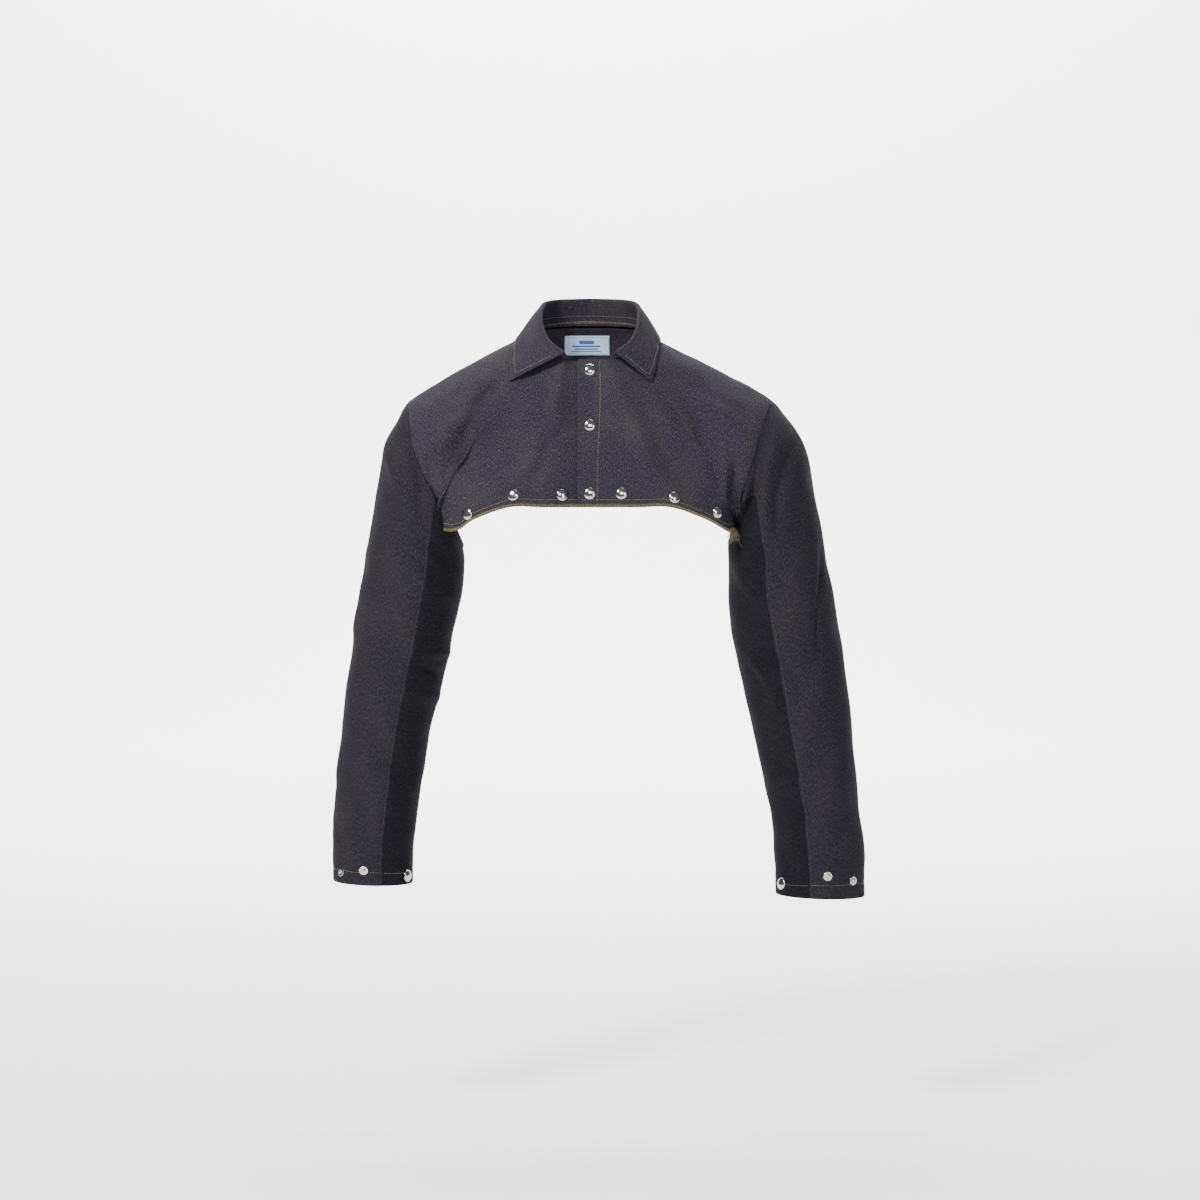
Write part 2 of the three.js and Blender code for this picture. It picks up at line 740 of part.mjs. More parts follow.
const cuffSnaps = {
  left: { cap: [151, 16], outer_stud: [46, 24], inner_stud: [83, 31] },
  right: { cap: [151, 11], outer_stud: [41, 15], inner_stud: [80, 20] },
};
const SLEEVE_ROWS = 10;
const CUFF_LAYERS = 2;
for (const name of ["left", "right"]) {
  const arm = sleeve(name);
  const rows = (u) => evenly(after(arm, u, ARMHOLE_ROOM), LAST_RING, SLEEVE_ROWS);
  const spot = ([round, up]) => standing(arm, threadAt(round), before(arm, threadAt(round), up, LAST_RING));
  const placed = Object.entries(cuffSnaps[name]).map(([snap, place]) => [snap, spot(place)]);
  const spots = Object.fromEntries(placed);

  const seam = threadAt(SLEEVE_SEAM);
  const topAngles = stations(arm, -seam, seam, 14, 5);
  const underAngles = stations(arm, seam, 360 - seam, 7, 5);
  const top = layer(arm, topAngles, rows);
  add(`${name}_top_sleeve`, punch(top, [spots.outer_stud, spots.inner_stud]), "sleeve");
  const under = layer(arm, underAngles, rows);
  add(`${name}_under_sleeve`, punch(under, [spots.cap]), "sleeve");
  const turning = layer(
    arm,
    [...topAngles, ...underAngles, topAngles[0] + 360],
    (u) => evenly(before(arm, u, CUFF_TURNING, LAST_RING), before(arm, u, 0.5, LAST_RING), 2),
    { depth: CLOTH + LAYER, ring: true }
  );
  add(`${name}_cuff_turning`, punch(turning, Object.values(spots)), "lining");

  capAndSocket(`${name}_cuff`, spots.cap, CUFF_LAYERS, "round");
  studAndEyelet(`${name}_cuff_outer`, spots.outer_stud, CUFF_LAYERS, "round");
  studAndEyelet(`${name}_cuff_inner`, spots.inner_stud, CUFF_LAYERS, "round");
}

// ---------- press studs of the front and the hem ----------
const FRONT_LAYERS = 2;
Object.keys(CLOSURE_HEIGHTS).forEach((height, i) => {
  capAndSocket(`closure_${height}`, closure.left[i], FRONT_LAYERS, "flat");
  studAndEyelet(`closure_${height}`, closure.right[i], FRONT_LAYERS, "flat");
});
for (const name of ["left", "right"]) {
  Object.keys(HEM_SNAPS[name]).forEach((place, i) => {
    capAndSocket(`${name}_hem_${place}`, hemSpots[name][i], 1, place === "inner" ? "flat" : "round");
  });
}

export default object;
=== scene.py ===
# %% [markdown]
# # Cape sleeves for welding
# The object is a cropped cape of heavy charcoal twill with a turned-down collar, a press-stud front and
# two long sleeves. Everything here is cloth, thread and nickel. The CAD part gives the fixed frame: the
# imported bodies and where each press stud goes. Here each layer of cloth gets its folds, weave and sewing.

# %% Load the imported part
import json
import math
import bpy
import numpy as np
from mathutils import Matrix, Vector

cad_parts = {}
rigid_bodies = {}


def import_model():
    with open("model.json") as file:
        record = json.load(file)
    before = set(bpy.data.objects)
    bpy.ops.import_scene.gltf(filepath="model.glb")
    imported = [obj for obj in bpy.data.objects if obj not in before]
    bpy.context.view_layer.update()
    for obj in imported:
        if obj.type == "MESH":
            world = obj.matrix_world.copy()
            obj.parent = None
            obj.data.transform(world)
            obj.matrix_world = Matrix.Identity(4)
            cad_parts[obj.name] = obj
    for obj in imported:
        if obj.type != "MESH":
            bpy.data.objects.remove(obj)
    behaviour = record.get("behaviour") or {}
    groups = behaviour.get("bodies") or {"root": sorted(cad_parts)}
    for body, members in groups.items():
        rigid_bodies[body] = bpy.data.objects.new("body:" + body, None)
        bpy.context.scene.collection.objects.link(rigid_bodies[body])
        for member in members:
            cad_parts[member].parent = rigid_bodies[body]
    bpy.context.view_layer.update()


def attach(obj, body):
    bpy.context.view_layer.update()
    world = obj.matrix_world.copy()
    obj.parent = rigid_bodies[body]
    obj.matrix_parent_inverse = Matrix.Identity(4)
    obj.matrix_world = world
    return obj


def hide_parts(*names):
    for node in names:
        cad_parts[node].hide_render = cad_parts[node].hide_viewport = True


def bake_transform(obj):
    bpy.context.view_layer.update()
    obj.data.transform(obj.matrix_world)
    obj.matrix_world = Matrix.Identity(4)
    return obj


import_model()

# %% [markdown]
# ## Sizes
# All the sewing sizes are in millimetres, as a pattern cutter writes them, and become metres only when a
# mesh is made. The twill is 1.2 mm through with its nap; the collar is two layers pressed flat.

# %% Sizes of the cloth, the laps and the press studs
MM = 0.001
CLOTH = 1.2
COLLAR = 2.2
TAPE = 0.6
CAD_CLOTH = 1.6
CAD_GAP = 0.6
LAP = 15
UNDERLAP = 22
LAP_DEPTH = 8.4
FACING_IN = 12
CUFF_TURNING = 20
SLEEVE_SEAM = 107
COLLAR_END_RAY = 1.35
RAY_LENGTH = 190
RING_LENGTH = 58
FIRST_RING_LENGTH = 85
FALL_LENGTH = 44
SEAM_WIDTH = 7
rng = np.random.default_rng(7)
print("cloth", CLOTH, "mm, collar", COLLAR, "mm")

# %% [markdown]
# ## Curves through measured points
# Each edge of a garment pattern is a smooth curve through a few measured points. A Hermite curve passes
# through every point, so the numbers in the tables can be read off as real places on the garment.


# %% A smooth curve through numbered points
def spline(at, values, k):
    """values is (points, curves, 3); curve number m is read at k[m]."""
    at = np.asarray(at, float)
    step = np.diff(at)
    rise = np.diff(values, axis=0) / step[:, None, None]
    slopes = np.concatenate([rise[:1], rise, rise[-1:]])[:-1].copy()
    slopes[-1] = rise[-1]
    for i in range(1, len(at) - 1):
        slopes[i] = (step[i] * rise[i - 1] + step[i - 1] * rise[i]) / (step[i - 1] + step[i])
    i = np.clip(np.searchsorted(at, k, side="left") - 1, 0, len(at) - 2)
    m = np.arange(len(k)) if values.shape[1] > 1 else np.zeros(len(k), int)
    h = step[i][:, None]
    s = ((k - at[i]) / step[i])[:, None]
    return (values[i, m] * (2 * s**3 - 3 * s**2 + 1) + slopes[i, m] * h * (s**3 - 2 * s**2 + s)
            + values[i + 1, m] * (3 * s**2 - 2 * s**3) + slopes[i + 1, m] * h * (s**3 - s**2))


def through(keys):
    keys = np.array(keys, float)
    return lambda k: spline(keys[:, 0], keys[:, None, 1:], np.asarray(k, float))


def smooth(x, low, high):
    s = np.clip((x - low) / (high - low), 0, 1)
    return s * s * (3 - 2 * s)


print("curves ready")

# %% [markdown]
# ## Surfaces and their normals
# A surface here is a function from two running numbers to a place. Its normal comes from two small steps
# across it, which works for any surface, folds included. `side` says which way is out.


# %% A surface, its slopes and its normals
class Surface:
    def __init__(self, at, side):
        self.at, self.side = at, side

    def slope(self, u, v, du, dv):
        return (self.at(u + du, v + dv) - self.at(u - du, v - dv)) / (2 * (du or dv))

    def normal(self, u, v):
        n = np.cross(self.slope(u, v, 1e-3, 0), self.slope(u, v, 0, 1e-3))
        return n / np.linalg.norm(n, axis=1, keepdims=True) * self.side

    def before(self, u, distance, end):
        """The v of the points `distance` short of v = end."""
        pace = np.linalg.norm(self.slope(u, np.full_like(u, end - 2e-3), 0, 1e-3), axis=1)
        return end - distance / pace


print("surfaces ready")

# %% [markdown]
# ## The body pattern
# Each half of the body is a fan of rays from the neckline to its outer edge: the hem in front, the
# armhole at the side and the hem behind. A cubic Bezier down each ray lets the cloth leave the neck at
# one slope and hang into the hem at another, which a flat panel or a simple extrusion could not do.

# %% Tables of the body pattern: [ray, x outwards, y, z]
RAY_SHOULDER, RAY_UNDERARM, RAY_UNDERARM_BACK, RAY_BACK = 12, 6, 18, 23
NECK_FRONT = (-75, -20)
HEM_FRONT = (-114, -202)
neck_rest = {side: [(1, 16, *NECK_FRONT), (3, 39, -65, -15), (6, 60, -43, -5), (9, 73, -20, 5 - drop / 2),
                    (12, 78, 0, 12 - drop), (15, 73, 24, 16 - drop / 2), (18, 59, 44, 19), (21, 26, 60, 22),
                    (23, 0, 63, 22)] for side, drop in (("left", 5), ("right", 0))}
hem_rest = [(1, 14, *HEM_FRONT), (2, 58, -113, -202), (3, 98, -109, -202), (4, 140, -98, -216),
            (5, 174, -84, -233)]
back_rest = [(19, 176, 66, -230), (20, 140, 88, -214), (21, 96, 101, -204), (22, 48, 107, -200),
             (23, 0, 108, -199)]
set_off = through([(0, 0, -14, -50), (4, 24, -22, -34), (6, 36, -32, -28), (9, 42, -24, -24),
                   (12, 50, 0, -25), (15, 38, 26, -18), (18, 30, 34, -22), (20, 14, 34, -30), (23, 0, 32,
                                                                                               -38)])
come_in = through([(0, 0, 1, 56), (4, -14, -2, 56), (5, -20, -10, 58), (6, -16, -20, 58), (7, -24, -24, 52),
                   (9, -46, -26, 38), (12, -50, 0, 31), (15, -44, 22, 40), (16, -34, 22, 48),
                   (17, -24, 26, 52), (18, -14, 28, 60), (19, -14, 22, 60), (20, -10, 10, 60),
                   (23, 0, 4, 60)])
# Under the arm the last part of a ray is tucked back towards the middle of the arm: [ray, y].
tuck = through([(0, 0), (4, 0), (5, 8), (5.5, 26), (6, 54), (7, 21), (8, 4), (9, 0), (15, 0), (16, -2),
                (17, -24), (18, -76), (19, -8), (20, 0), (23, 0)])
TUCK_FROM = 0.8
underarm_front = {"left": (181, -80, -232), "right": (197, -80, -229)}
armholes = {
    "left": [(6, 182, -78, -236), (7, 186, -78, -218), (8, 189, -80, -190), (9, 199, -81, -155),
             (10, 210, -70, -117), (11, 221, -42, -87), (12, 229, 0, -70), (13, 227, 42, -86),
             (14, 221, 70, -119), (15, 213, 82, -155), (16, 205, 82, -190), (17, 195, 70, -222),
             (18, 182, 60, -236)],
    "right": [(6, 199, -78, -232), (7, 208, -78, -216), (8, 212, -80, -190), (9, 215, -81, -155),
              (10, 221, -70, -119), (11, 226, -42, -89), (12, 229, 0, -72), (13, 228, 42, -87),
              (14, 224, 70, -119), (15, 218, 82, -155), (16, 213, 82, -190), (17, 207, 70, -220),
              (18, 199, 60, -232)],
}
SIGN = {"left": 1, "right": -1}
print("body pattern: rays 0 to", RAY_BACK)


# %% One half of the body as a surface
def body_half(name):
    sign, edge = SIGN[name], (-LAP if name == "left" else -UNDERLAP)
    neck = through([(0, edge, *NECK_FRONT), *neck_rest[name]])
    arm = armholes[name]
    rims = [through([(0, edge, *HEM_FRONT), *hem_rest, (5.5, *underarm_front[name]), arm[0]]),
            through(arm), through([arm[-1], *back_rest])]

    def plain(k, t):
        k, t = np.broadcast_arrays(np.asarray(k, float), np.asarray(t, float))
        ray = np.maximum(k, 1)
        which = (ray > RAY_UNDERARM).astype(int) + (ray > RAY_UNDERARM_BACK)
        rim = np.zeros((len(ray), 3))
        for n, curve in enumerate(rims):
            rim[which == n] = curve(ray[which == n])
        start = neck(ray)
        early, late = start + set_off(ray), rim + come_in(ray)
        t, s = t[:, None], 1 - t[:, None]
        p = start * s**3 + 3 * early * s**2 * t + 3 * late * s * t**2 + rim * t**3
        p[:, 1] += tuck(ray)[:, 0] * smooth(t[:, 0], TUCK_FROM, 1)
        p[:, 0] = np.where(k < 1, edge + (p[:, 0] - edge) * k, p[:, 0]) * sign
        return p

    half = Surface(plain, -sign)
    if name == "left":
        return half
    # The right front drops behind the left one where they lap.
    def behind(k, t):
        k, t = np.broadcast_arrays(np.asarray(k, float), np.asarray(t, float))
        p = plain(k, t)
        lap = k < 2
        if lap.any():
            p[lap] -= half.normal(k[lap], t[lap]) * LAP_DEPTH * (1 - smooth(k[lap], 1, 2))[:, None]
        return p

    return Surface(behind, -sign)


body = {name: body_half(name) for name in SIGN}
one = np.array([12.0])
print("left shoulder tip at", body["left"].at(one, one * 0 + 1)[0].round(1), "mm")

# %% [markdown]
# ## Folds
# Real cloth is never as smooth as a pattern. Twill this heavy makes a few long, soft drag folds that run
# from the neck to the armholes, tighter ones where the sleeve is set in, and a very low overall waviness.
# Each fold is a ridge or a valley along a line, given one by one, so it stays where it belongs. Press studs
# clamp the cloth flat, so the folds die out round them.

# %% Fold lines: (x, z) to (x, z), half width, height; a minus height is a valley
front_folds = [
    ((-96, -85), (-162, -155), 12, -1.9), ((-56, -70), (-142, -166), 12, 2.0),
    ((-25, -100), (-76, -181), 9, -1.3), ((-136, -59), (-197, -130), 11, 2.2),
    ((-202, -139), (-195, -196), 9, -3.2), ((-110, -45), (-176, -96), 8, -1.6),
    ((-60, -130), (-118, -186), 8, 1.2), ((-172, -150), (-166, -206), 10, 0.7),
    ((116, -70), (182, -155), 10, -2.4), ((91, -85), (157, -181), 12, 2.0),
    ((157, -64), (202, -130), 10, 1.8), ((61, -80), (116, -171), 10, -1.4),
    ((182, -150), (186, -206), 9, -3.4), ((120, -40), (186, -92), 8, -1.4),
    ((166, -120), (168, -200), 7, 1.6), ((40, -60), (70, -150), 9, 1.0),
]
back_folds = [
    ((-40, -30), (-150, -120), 12, 1.6), ((-70, -20), (-180, -90), 10, -1.8),
    ((-20, -90), (-60, -185), 10, -1.2), ((-190, -130), (-180, -200), 10, -2.6),
    ((-110, -110), (-150, -200), 11, 1.6), ((50, -30), (160, -125), 12, 1.6),
    ((80, -20), (186, -88), 10, -1.8), ((24, -80), (52, -185), 11, -1.3),
    ((188, -126), (180, -200), 10, -2.6), ((100, -115), (142, -200), 11, 1.6),
]
sleeve_front_folds = [
    ((-236, -100), (-205, -200), 9, -2.6), ((-250, -120), (-222, -230), 9, 2.4),
    ((-212, -240), (-168, -280), 8, -2.6), ((-240, -262), (-172, -318), 10, 2.2),
    ((-212, -398), (-172, -428), 6, -2.8), ((-232, -368), (-178, -392), 8, 2.2),
    ((-250, -420), (-186, -452), 8, 1.8), ((-300, -330), (-262, -420), 14, 1.4),
    ((-316, -560), (-256, -574), 9, -1.8), ((-318, -590), (-250, -602), 9, 1.6),
    ((-262, -520), (-222, -548), 8, -2.0), ((-300, -470), (-262, -520), 12, 1.6),
    ((-290, -640), (-240, -628), 7, 1.4), ((-296, -200), (-276, -300), 12, -1.4),
    ((204, -95), (196, -215), 8, -4.2), ((226, -100), (216, -240), 10, 3.4),
    ((250, -110), (232, -230), 9, -2.0), ((196, -236), (240, -300), 8, -2.6),
    ((182, -262), (222, -330), 9, 2.2), ((288, -262), (284, -380), 4, -1.5),
    ((222, -380), (262, -428), 7, -2.6), ((204, -392), (236, -452), 7, 2.2),
    ((292, -400), (262, -470), 12, 1.6), ((244, -574), (300, -592), 9, -2.0),
    ((240, -600), (316, -618), 10, 1.7), ((232, -512), (274, -540), 8, -1.8),
    ((300, -500), (322, -580), 12, 1.2), ((262, -650), (320, -640), 7, 1.4),
]
sleeve_back_folds = [
    ((-230, -110), (-210, -230), 12, -3.0), ((-260, -130), (-240, -250), 12, 2.4),
    ((-210, -380), (-290, -420), 9, -2.6), ((-200, -420), (-296, -452), 10, 2.4),
    ((-220, -340), (-280, -380), 10, 2.0), ((-250, -560), (-300, -580), 10, 1.4),
    ((230, -110), (206, -230), 12, -3.0), ((262, -130), (236, -250), 12, 2.4),
    ((206, -380), (300, -424), 9, -2.6), ((204, -420), (312, -456), 10, 2.4),
    ((226, -340), (292, -380), 10, 2.0), ((256, -560), (316, -584), 10, 1.4),
]
print(len(front_folds + back_folds), "folds on the body")
print(len(sleeve_front_folds + sleeve_back_folds), "folds on the sleeves")

# %% The height of the folds and of the low waviness at any place
wave_sizes = [(150, 1.0), (120, 0.8), (95, 0.7), (74, 0.5), (58, 0.4), (44, 0.28), (33, 0.2), (24, 0.12)]
waves = [(rng.normal(size=3), rng.uniform(0, 6.3), length, tall)
         for length, tall in wave_sizes for _ in range(2)]
WAVE_GAIN = 0.6
FOLD_GAIN = 2.2


def waviness(p):
    total = np.zeros(len(p))
    for way, phase, length, tall in waves:
        total += tall * np.sin(p @ (way / np.linalg.norm(way)) * (2 * math.pi / length) + phase)
    return total * WAVE_GAIN


def fold_height(p, folds):
    total = np.zeros(len(p))
    flat = p[:, [0, 2]]
    for a, b, wide, tall in folds:
        a, b = np.array(a, float), np.array(b, float)
        along = np.clip(((flat - a) @ (b - a)) / ((b - a) @ (b - a)), -0.35, 1.35)
        off = flat - (a + along[:, None] * (b - a))
        # The foot of the distance bends a little, so no fold is a ruled line.
        bend = wide * 0.5 * np.sin(along * 4 + a[0])
        across = off @ (np.array([a[1] - b[1], b[0] - a[0]]) / np.linalg.norm(b - a)) + bend
        past = np.abs(along - 0.5) - 0.5
        total += tall * np.exp(-(across / wide) ** 2) * (1 - smooth(past, -0.3, 0.3))
    return total * FOLD_GAIN


print("waviness near the neck:", waviness(np.array([[30.0, -80, -60]])).round(2), "mm")

# %% [markdown]
# ## Where the press studs go
# Three pairs close the front, six along the hem hold a bib, and three sit on each cuff. Their places are
# the same as the CAD part's, found on the pattern by stepping towards the wanted x and z.

# %% Places of the press studs on the pattern
closure_heights = {"top": -33, "middle": -101, "bottom": -185}
hem_places = {"left": {"inner": (39, -185), "middle": (104, -190), "outer": (158, -209)},
              "right": {"inner": (34, -187), "middle": (94, -187), "outer": (151, -211)}}
cuff_places = {"left": {"cap": (151, 16), "outer": (46, 24), "inner": (83, 31)},
               "right": {"cap": (151, 11), "outer": (41, 15), "inner": (80, 20)}}


def find_all(surface, x, z, u, v):
    for _ in range(12):
        p, du, dv = surface.at(u, v).T, surface.slope(u, v, 1e-3, 0).T, surface.slope(u, v, 0, 1e-3).T
        det = du[0] * dv[2] - dv[0] * du[2]
        u = u + ((x - p[0]) * dv[2] - (z - p[2]) * dv[0]) / det
        v = v + ((z - p[2]) * du[0] - (x - p[0]) * du[2]) / det
    return u, v


def find(surface, x, z, u, v):
    u, v = find_all(surface, *(np.array([n], float) for n in (x, z, u, v)))
    return float(u[0]), float(v[0])


closure_spots = [find(body["left"], 0, z, 1, 0.8) for z in closure_heights.values()]
hem_spots = {name: {place: find(body[name], SIGN[name] * x, z, 1 + x / 40, 0.8)
                    for place, (x, z) in places.items()} for name, places in hem_places.items()}
clamped = np.array([(0, z) for z in closure_heights.values()]
                   + [(SIGN[name] * x, z) for name in SIGN for x, z in hem_places[name].values()], float)
print("press studs on the body:", len(clamped))


# %% The body with its folds
def near_studs(p):
    """0 under a press stud, 1 away from all of them."""
    calm = np.ones(len(p))
    for x, z in clamped:
        calm *= smooth(np.hypot(p[:, 0] - x, p[:, 2] - z), 7, 24)
    return np.where(p[:, 1] < 0, calm, 1)


def folded_body(name):
    surface = body[name]

    def at(k, t):
        p, n = surface.at(k, t), surface.normal(k, t)
        front = 1 - smooth(p[:, 1], -30, 10)
        back = smooth(p[:, 1], -10, 30)
        k, t = np.broadcast_arrays(np.asarray(k, float), np.asarray(t, float))
        height = fold_height(p, front_folds) * front + fold_height(p, back_folds) * back + waviness(p)
        height *= near_studs(p) * smooth(k, 0.4, 2.2)
        height *= smooth(t, 0.02, 0.22) * (1 - 0.55 * smooth(t, 0.8, 1.0))
        # Sewing draws the cloth in a little along the armhole, and puckers it.
        in_armhole = smooth(k, RAY_UNDERARM, RAY_UNDERARM + 1)
        in_armhole *= 1 - smooth(k, RAY_UNDERARM_BACK - 1, RAY_UNDERARM_BACK)
        sewn = np.exp(-((1 - t) * RAY_LENGTH / SEAM_WIDTH) ** 2) * in_armhole
        height += sewn * (-0.9 + 0.3 * np.sin(k * 17) + 0.2 * np.sin(k * 29 + 1))
        # The hem curls out a little between the press studs.
        hem = smooth(t, 0.9, 1.0) * (1 - smooth(k, 5.2, 6) + smooth(k, 18, 18.8))
        curl = 1.1 * np.sin(p[:, 0] / 17 + 1) + 0.6 * np.sin(p[:, 0] / 7.5)
        height += hem * curl * smooth(k, 1, 2.5) * near_studs(p)
        return p + n * height[:, None]

    return Surface(at, surface.side)


cloth_body = {name: folded_body(name) for name in SIGN}
print("folds added to both halves of the body")

# %% [markdown]
# ## Sleeves
# A sleeve is a tube lofted through rings: the armhole first, then seven rings down the arm to the cuff.
# Rings are easier to fit to a hanging arm than an extruded circle, because each can lean and flatten.

# %% Rings of the sleeves: [ring, outermost x, z, innermost x, z, half depth, middle's y]
sleeve_rings = {
    "left": [(0.4, 246, -87, 178, -246, 80, -1), (1, 268, -119, 176, -254, 82, -2),
             (2, 286, -206, 176, -287, 78, -4), (3, 306, -305, 175, -335, 72, -6),
             (4, 321, -395, 187, -405, 67, -8), (5, 330, -478, 206, -484, 61, -10),
             (6, 339, -565, 223, -567, 56, -13), (7, 346, -640, 232, -640, 51, -16),
             (8, 347, -695, 235, -692, 48, -18)],
    "right": [(0.4, 239, -88, 167, -246, 80, -1), (1, 255, -122, 161, -258, 82, -2),
              (2, 271, -206, 160, -292, 78, -4), (3, 288, -305, 167, -338, 72, -6),
              (4, 302, -395, 182, -405, 67, -8), (5, 311, -478, 202, -484, 61, -10),
              (6, 320, -560, 214, -562, 56, -13), (7, 324, -626, 223, -626, 51, -16),
              (8, 324, -675, 224, -678, 48, -18)],
}
LAST_RING = 8
EASE = math.radians(25)
UNDERARM_BLEND = 12


def sleeve(name):
    sign = SIGN[name]
    rings = np.array(sleeve_rings[name], float)

    def armhole(turned):
        p = body[name].at(RAY_SHOULDER - turned / 30, np.ones(len(turned)))
        p[:, 0] *= sign
        return p

    def at(angle, v):
        angle, v = np.broadcast_arrays(np.asarray(angle, float), np.asarray(v, float))
        turned = (angle + 180) % 360 - 180
        start = armhole(turned)
        # Right under the arm the ring closes from the front's corner to the back's.
        near = np.abs(turned) > 180 - UNDERARM_BLEND
        limit = np.full(near.sum(), 180.0 - UNDERARM_BLEND)
        mix = (((turned[near] % 360) - (180 - UNDERARM_BLEND)) / (2 * UNDERARM_BLEND))[:, None]
        start[near] = armhole(limit) * (1 - mix) + armhole(-limit) * mix
        a = np.radians(angle)
        start[:, 2] -= 1.2 * (1 - np.cos(a)) / 2
        turn = a - EASE * np.sin(a)
        cos, sin = np.cos(turn), np.sin(turn)
        values = np.empty((len(rings) + 1, len(angle), 3))
        values[0] = start
        for n, (_, ox, oz, ix, iz, deep, y) in enumerate(rings, 1):
            values[n, :, 0] = (ox + ix) / 2 + cos * (ox - ix) / 2
            values[n, :, 1] = y - sin * deep
            values[n, :, 2] = (oz + iz) / 2 + cos * (oz - iz) / 2
        p = spline(np.r_[0, rings[:, 0]], values, v)
        p[:, 0] *= sign
        return p

    return Surface(at, sign)


arm = {name: sleeve(name) for name in SIGN}
print("left cuff bottom at", arm["left"].at(np.array([0.0]), np.array([8.0]))[0].round(1), "mm")


# %% The sleeves with their folds
def thread_at(turn):
    """The running angle at the armhole of the thread that lies at `turn` degrees down the arm."""
    angle = turn
    for _ in range(20):
        angle = turn + math.degrees(EASE) * math.sin(math.radians(angle))
    return angle


seam_angle = thread_at(SLEEVE_SEAM)


def cuff_spot(name, turn, up):
    angle = thread_at(turn)
    return angle, float(arm[name].before(np.array([angle]), up, LAST_RING)[0])


cuff_spots = {name: {snap: cuff_spot(name, *place) for snap, place in places.items()}
              for name, places in cuff_places.items()}


def folded_sleeve(name):
    surface = arm[name]

    def at(angle, v):
        p, n = surface.at(angle, v), surface.normal(angle, v)
        angle, v = np.broadcast_arrays(np.asarray(angle, float), np.asarray(v, float))
        front = 1 - smooth(p[:, 1], -30, 5)
        back = smooth(p[:, 1], -5, 30)
        height = fold_height(p, sleeve_front_folds) * front + fold_height(p, sleeve_back_folds) * back
        height += waviness(p * 0.9 + 40) * 0.9
        calm = smooth(v, 0.02, 0.45) * (1 - 0.6 * smooth(v, 7.2, 7.6))
        for spot_angle, spot_v in cuff_spots[name].values():
            away = np.hypot(((angle - spot_angle + 180) % 360 - 180) * 0.95, (v - spot_v) * RING_LENGTH)
            calm = calm * smooth(away, 7, 20)
        height *= calm
        # The two long seams draw in and pucker; so does the armhole.
        from_seam = np.abs(np.abs((angle + 180) % 360 - 180) - seam_angle)
        sewn = np.exp(-(from_seam / 4.5) ** 2) * smooth(v, 0.1, 0.5)
        height += sewn * (-0.8 + 0.3 * np.sin(v * 29) + 0.22 * np.sin(v * 47 + 2))
        height += np.exp(-(v * FIRST_RING_LENGTH / SEAM_WIDTH) ** 2) * (-0.9 + 0.3 * np.sin(angle * 0.57))
        # The stitching round the cuff makes a shallow groove above the hem.
        height -= 0.5 * np.exp(-(((LAST_RING - v) * RING_LENGTH - CUFF_TURNING) / 2.5) ** 2)
        return p + n * height[:, None]

    return Surface(at, surface.side)


cloth_arm = {name: folded_sleeve(name) for name in SIGN}
print("sleeve seams at plus and minus", round(seam_angle, 1), "degrees")

# %% [markdown]
# ## The collar
# The collar is one folded piece: a stand that rises from the neckline, a roll, and a fall that comes back
# down to lie on the shoulders. It is drawn across its own section, so the roll keeps its thickness.

# %% The collar as a surface: v runs 0 to 1 up the stand, to 2 round the roll, to 3 down the fall
ROLL_R = 2.2
COLLAR_LIFT = 2.6
COLLAR_FOOT = 1.4
FALL_BOW = 7.2
NECK_CENTRE_Y = -8
roll_line = through([(1.35, 31, -79, -13), (4, 48, -62, 0), (6.5, 57, -43, 17), (9, 60, -20, 34),
                     (12, 59, 4, 46), (15, 54, 26, 52), (18, 42, 45, 55), (23, 0, 60, 57)])
collar_edge = {"left": [(1.35, 4.4, 0.25), (3.7, 5.8, 0.18), (6, 7.9, 0.125), (9, 9.8, 0.09)],
               "right": [(1.35, 6.1, 0.27), (3.7, 7.4, 0.225), (6, 8.6, 0.19), (9, 10.3, 0.135)],
               "behind": [(12, 12, 0.06), (15, 14.8, 0.09), (18, 18, 0.13), (23, 23, 0.1)]}


def collar_half(name):
    side, sign = body[name], SIGN[name]
    edge_on_body = through(collar_edge[name] + collar_edge["behind"])

    def at(k, v):
        k, v = np.broadcast_arrays(np.asarray(k, float), np.asarray(v, float))
        foot = side.at(k, np.zeros(len(k))) + [0, 0, COLLAR_FOOT]
        roll = roll_line(k)
        roll[:, 0] *= sign
        out = np.c_[roll[:, 0], roll[:, 1] - NECK_CENTRE_Y, np.zeros(len(k))]
        out /= np.linalg.norm(out, axis=1, keepdims=True)
        turn = (math.pi * (np.clip(v, 1, 2) - 1))[:, None]
        over = roll + out * ROLL_R * (1 - np.cos(turn)) + np.array([0, 0, ROLL_R]) * np.sin(turn)
        on_body = edge_on_body(k)
        ray, down = on_body.T
        edge = side.at(ray, down) + side.normal(ray, down) * COLLAR_LIFT
        w = np.clip(v - 2, 0, 1.2)[:, None]
        stand = foot * (1 - v[:, None]) + roll * v[:, None]
        fall = over * (1 - w) + edge * w + out * FALL_BOW * w * (1 - w)
        p = np.where(v[:, None] <= 1, stand, np.where(v[:, None] <= 2, over, fall))
        # A pressed collar keeps a slight wave along its outer edge.
        p += out * (w**2 * 0.8 * np.sin(k * 2.1 + sign)[:, None])
        return p

    return Surface(at, side.side)


collar = {name: collar_half(name) for name in SIGN}
print("roll of the collar at the back:", collar["left"].at(np.array([23.0]), np.array([1.5]))[0].round(1),
      "mm")

# %% [markdown]
# ## The fold along which each front opens
# When the press studs are undone, each front folds back about a line from the neckline to the hem. The
# cloth is one piece there, so the two meshes that meet on the line share their edge and their normals.

# %% The fold line on each surface
fold_points = np.array([(76, -10, 8), (141, -98, -214), (20, 40, -100)], float)
FOLD_BETWEEN = (2, 11)
COLLAR_FOLD_BETWEEN = (2, 16)


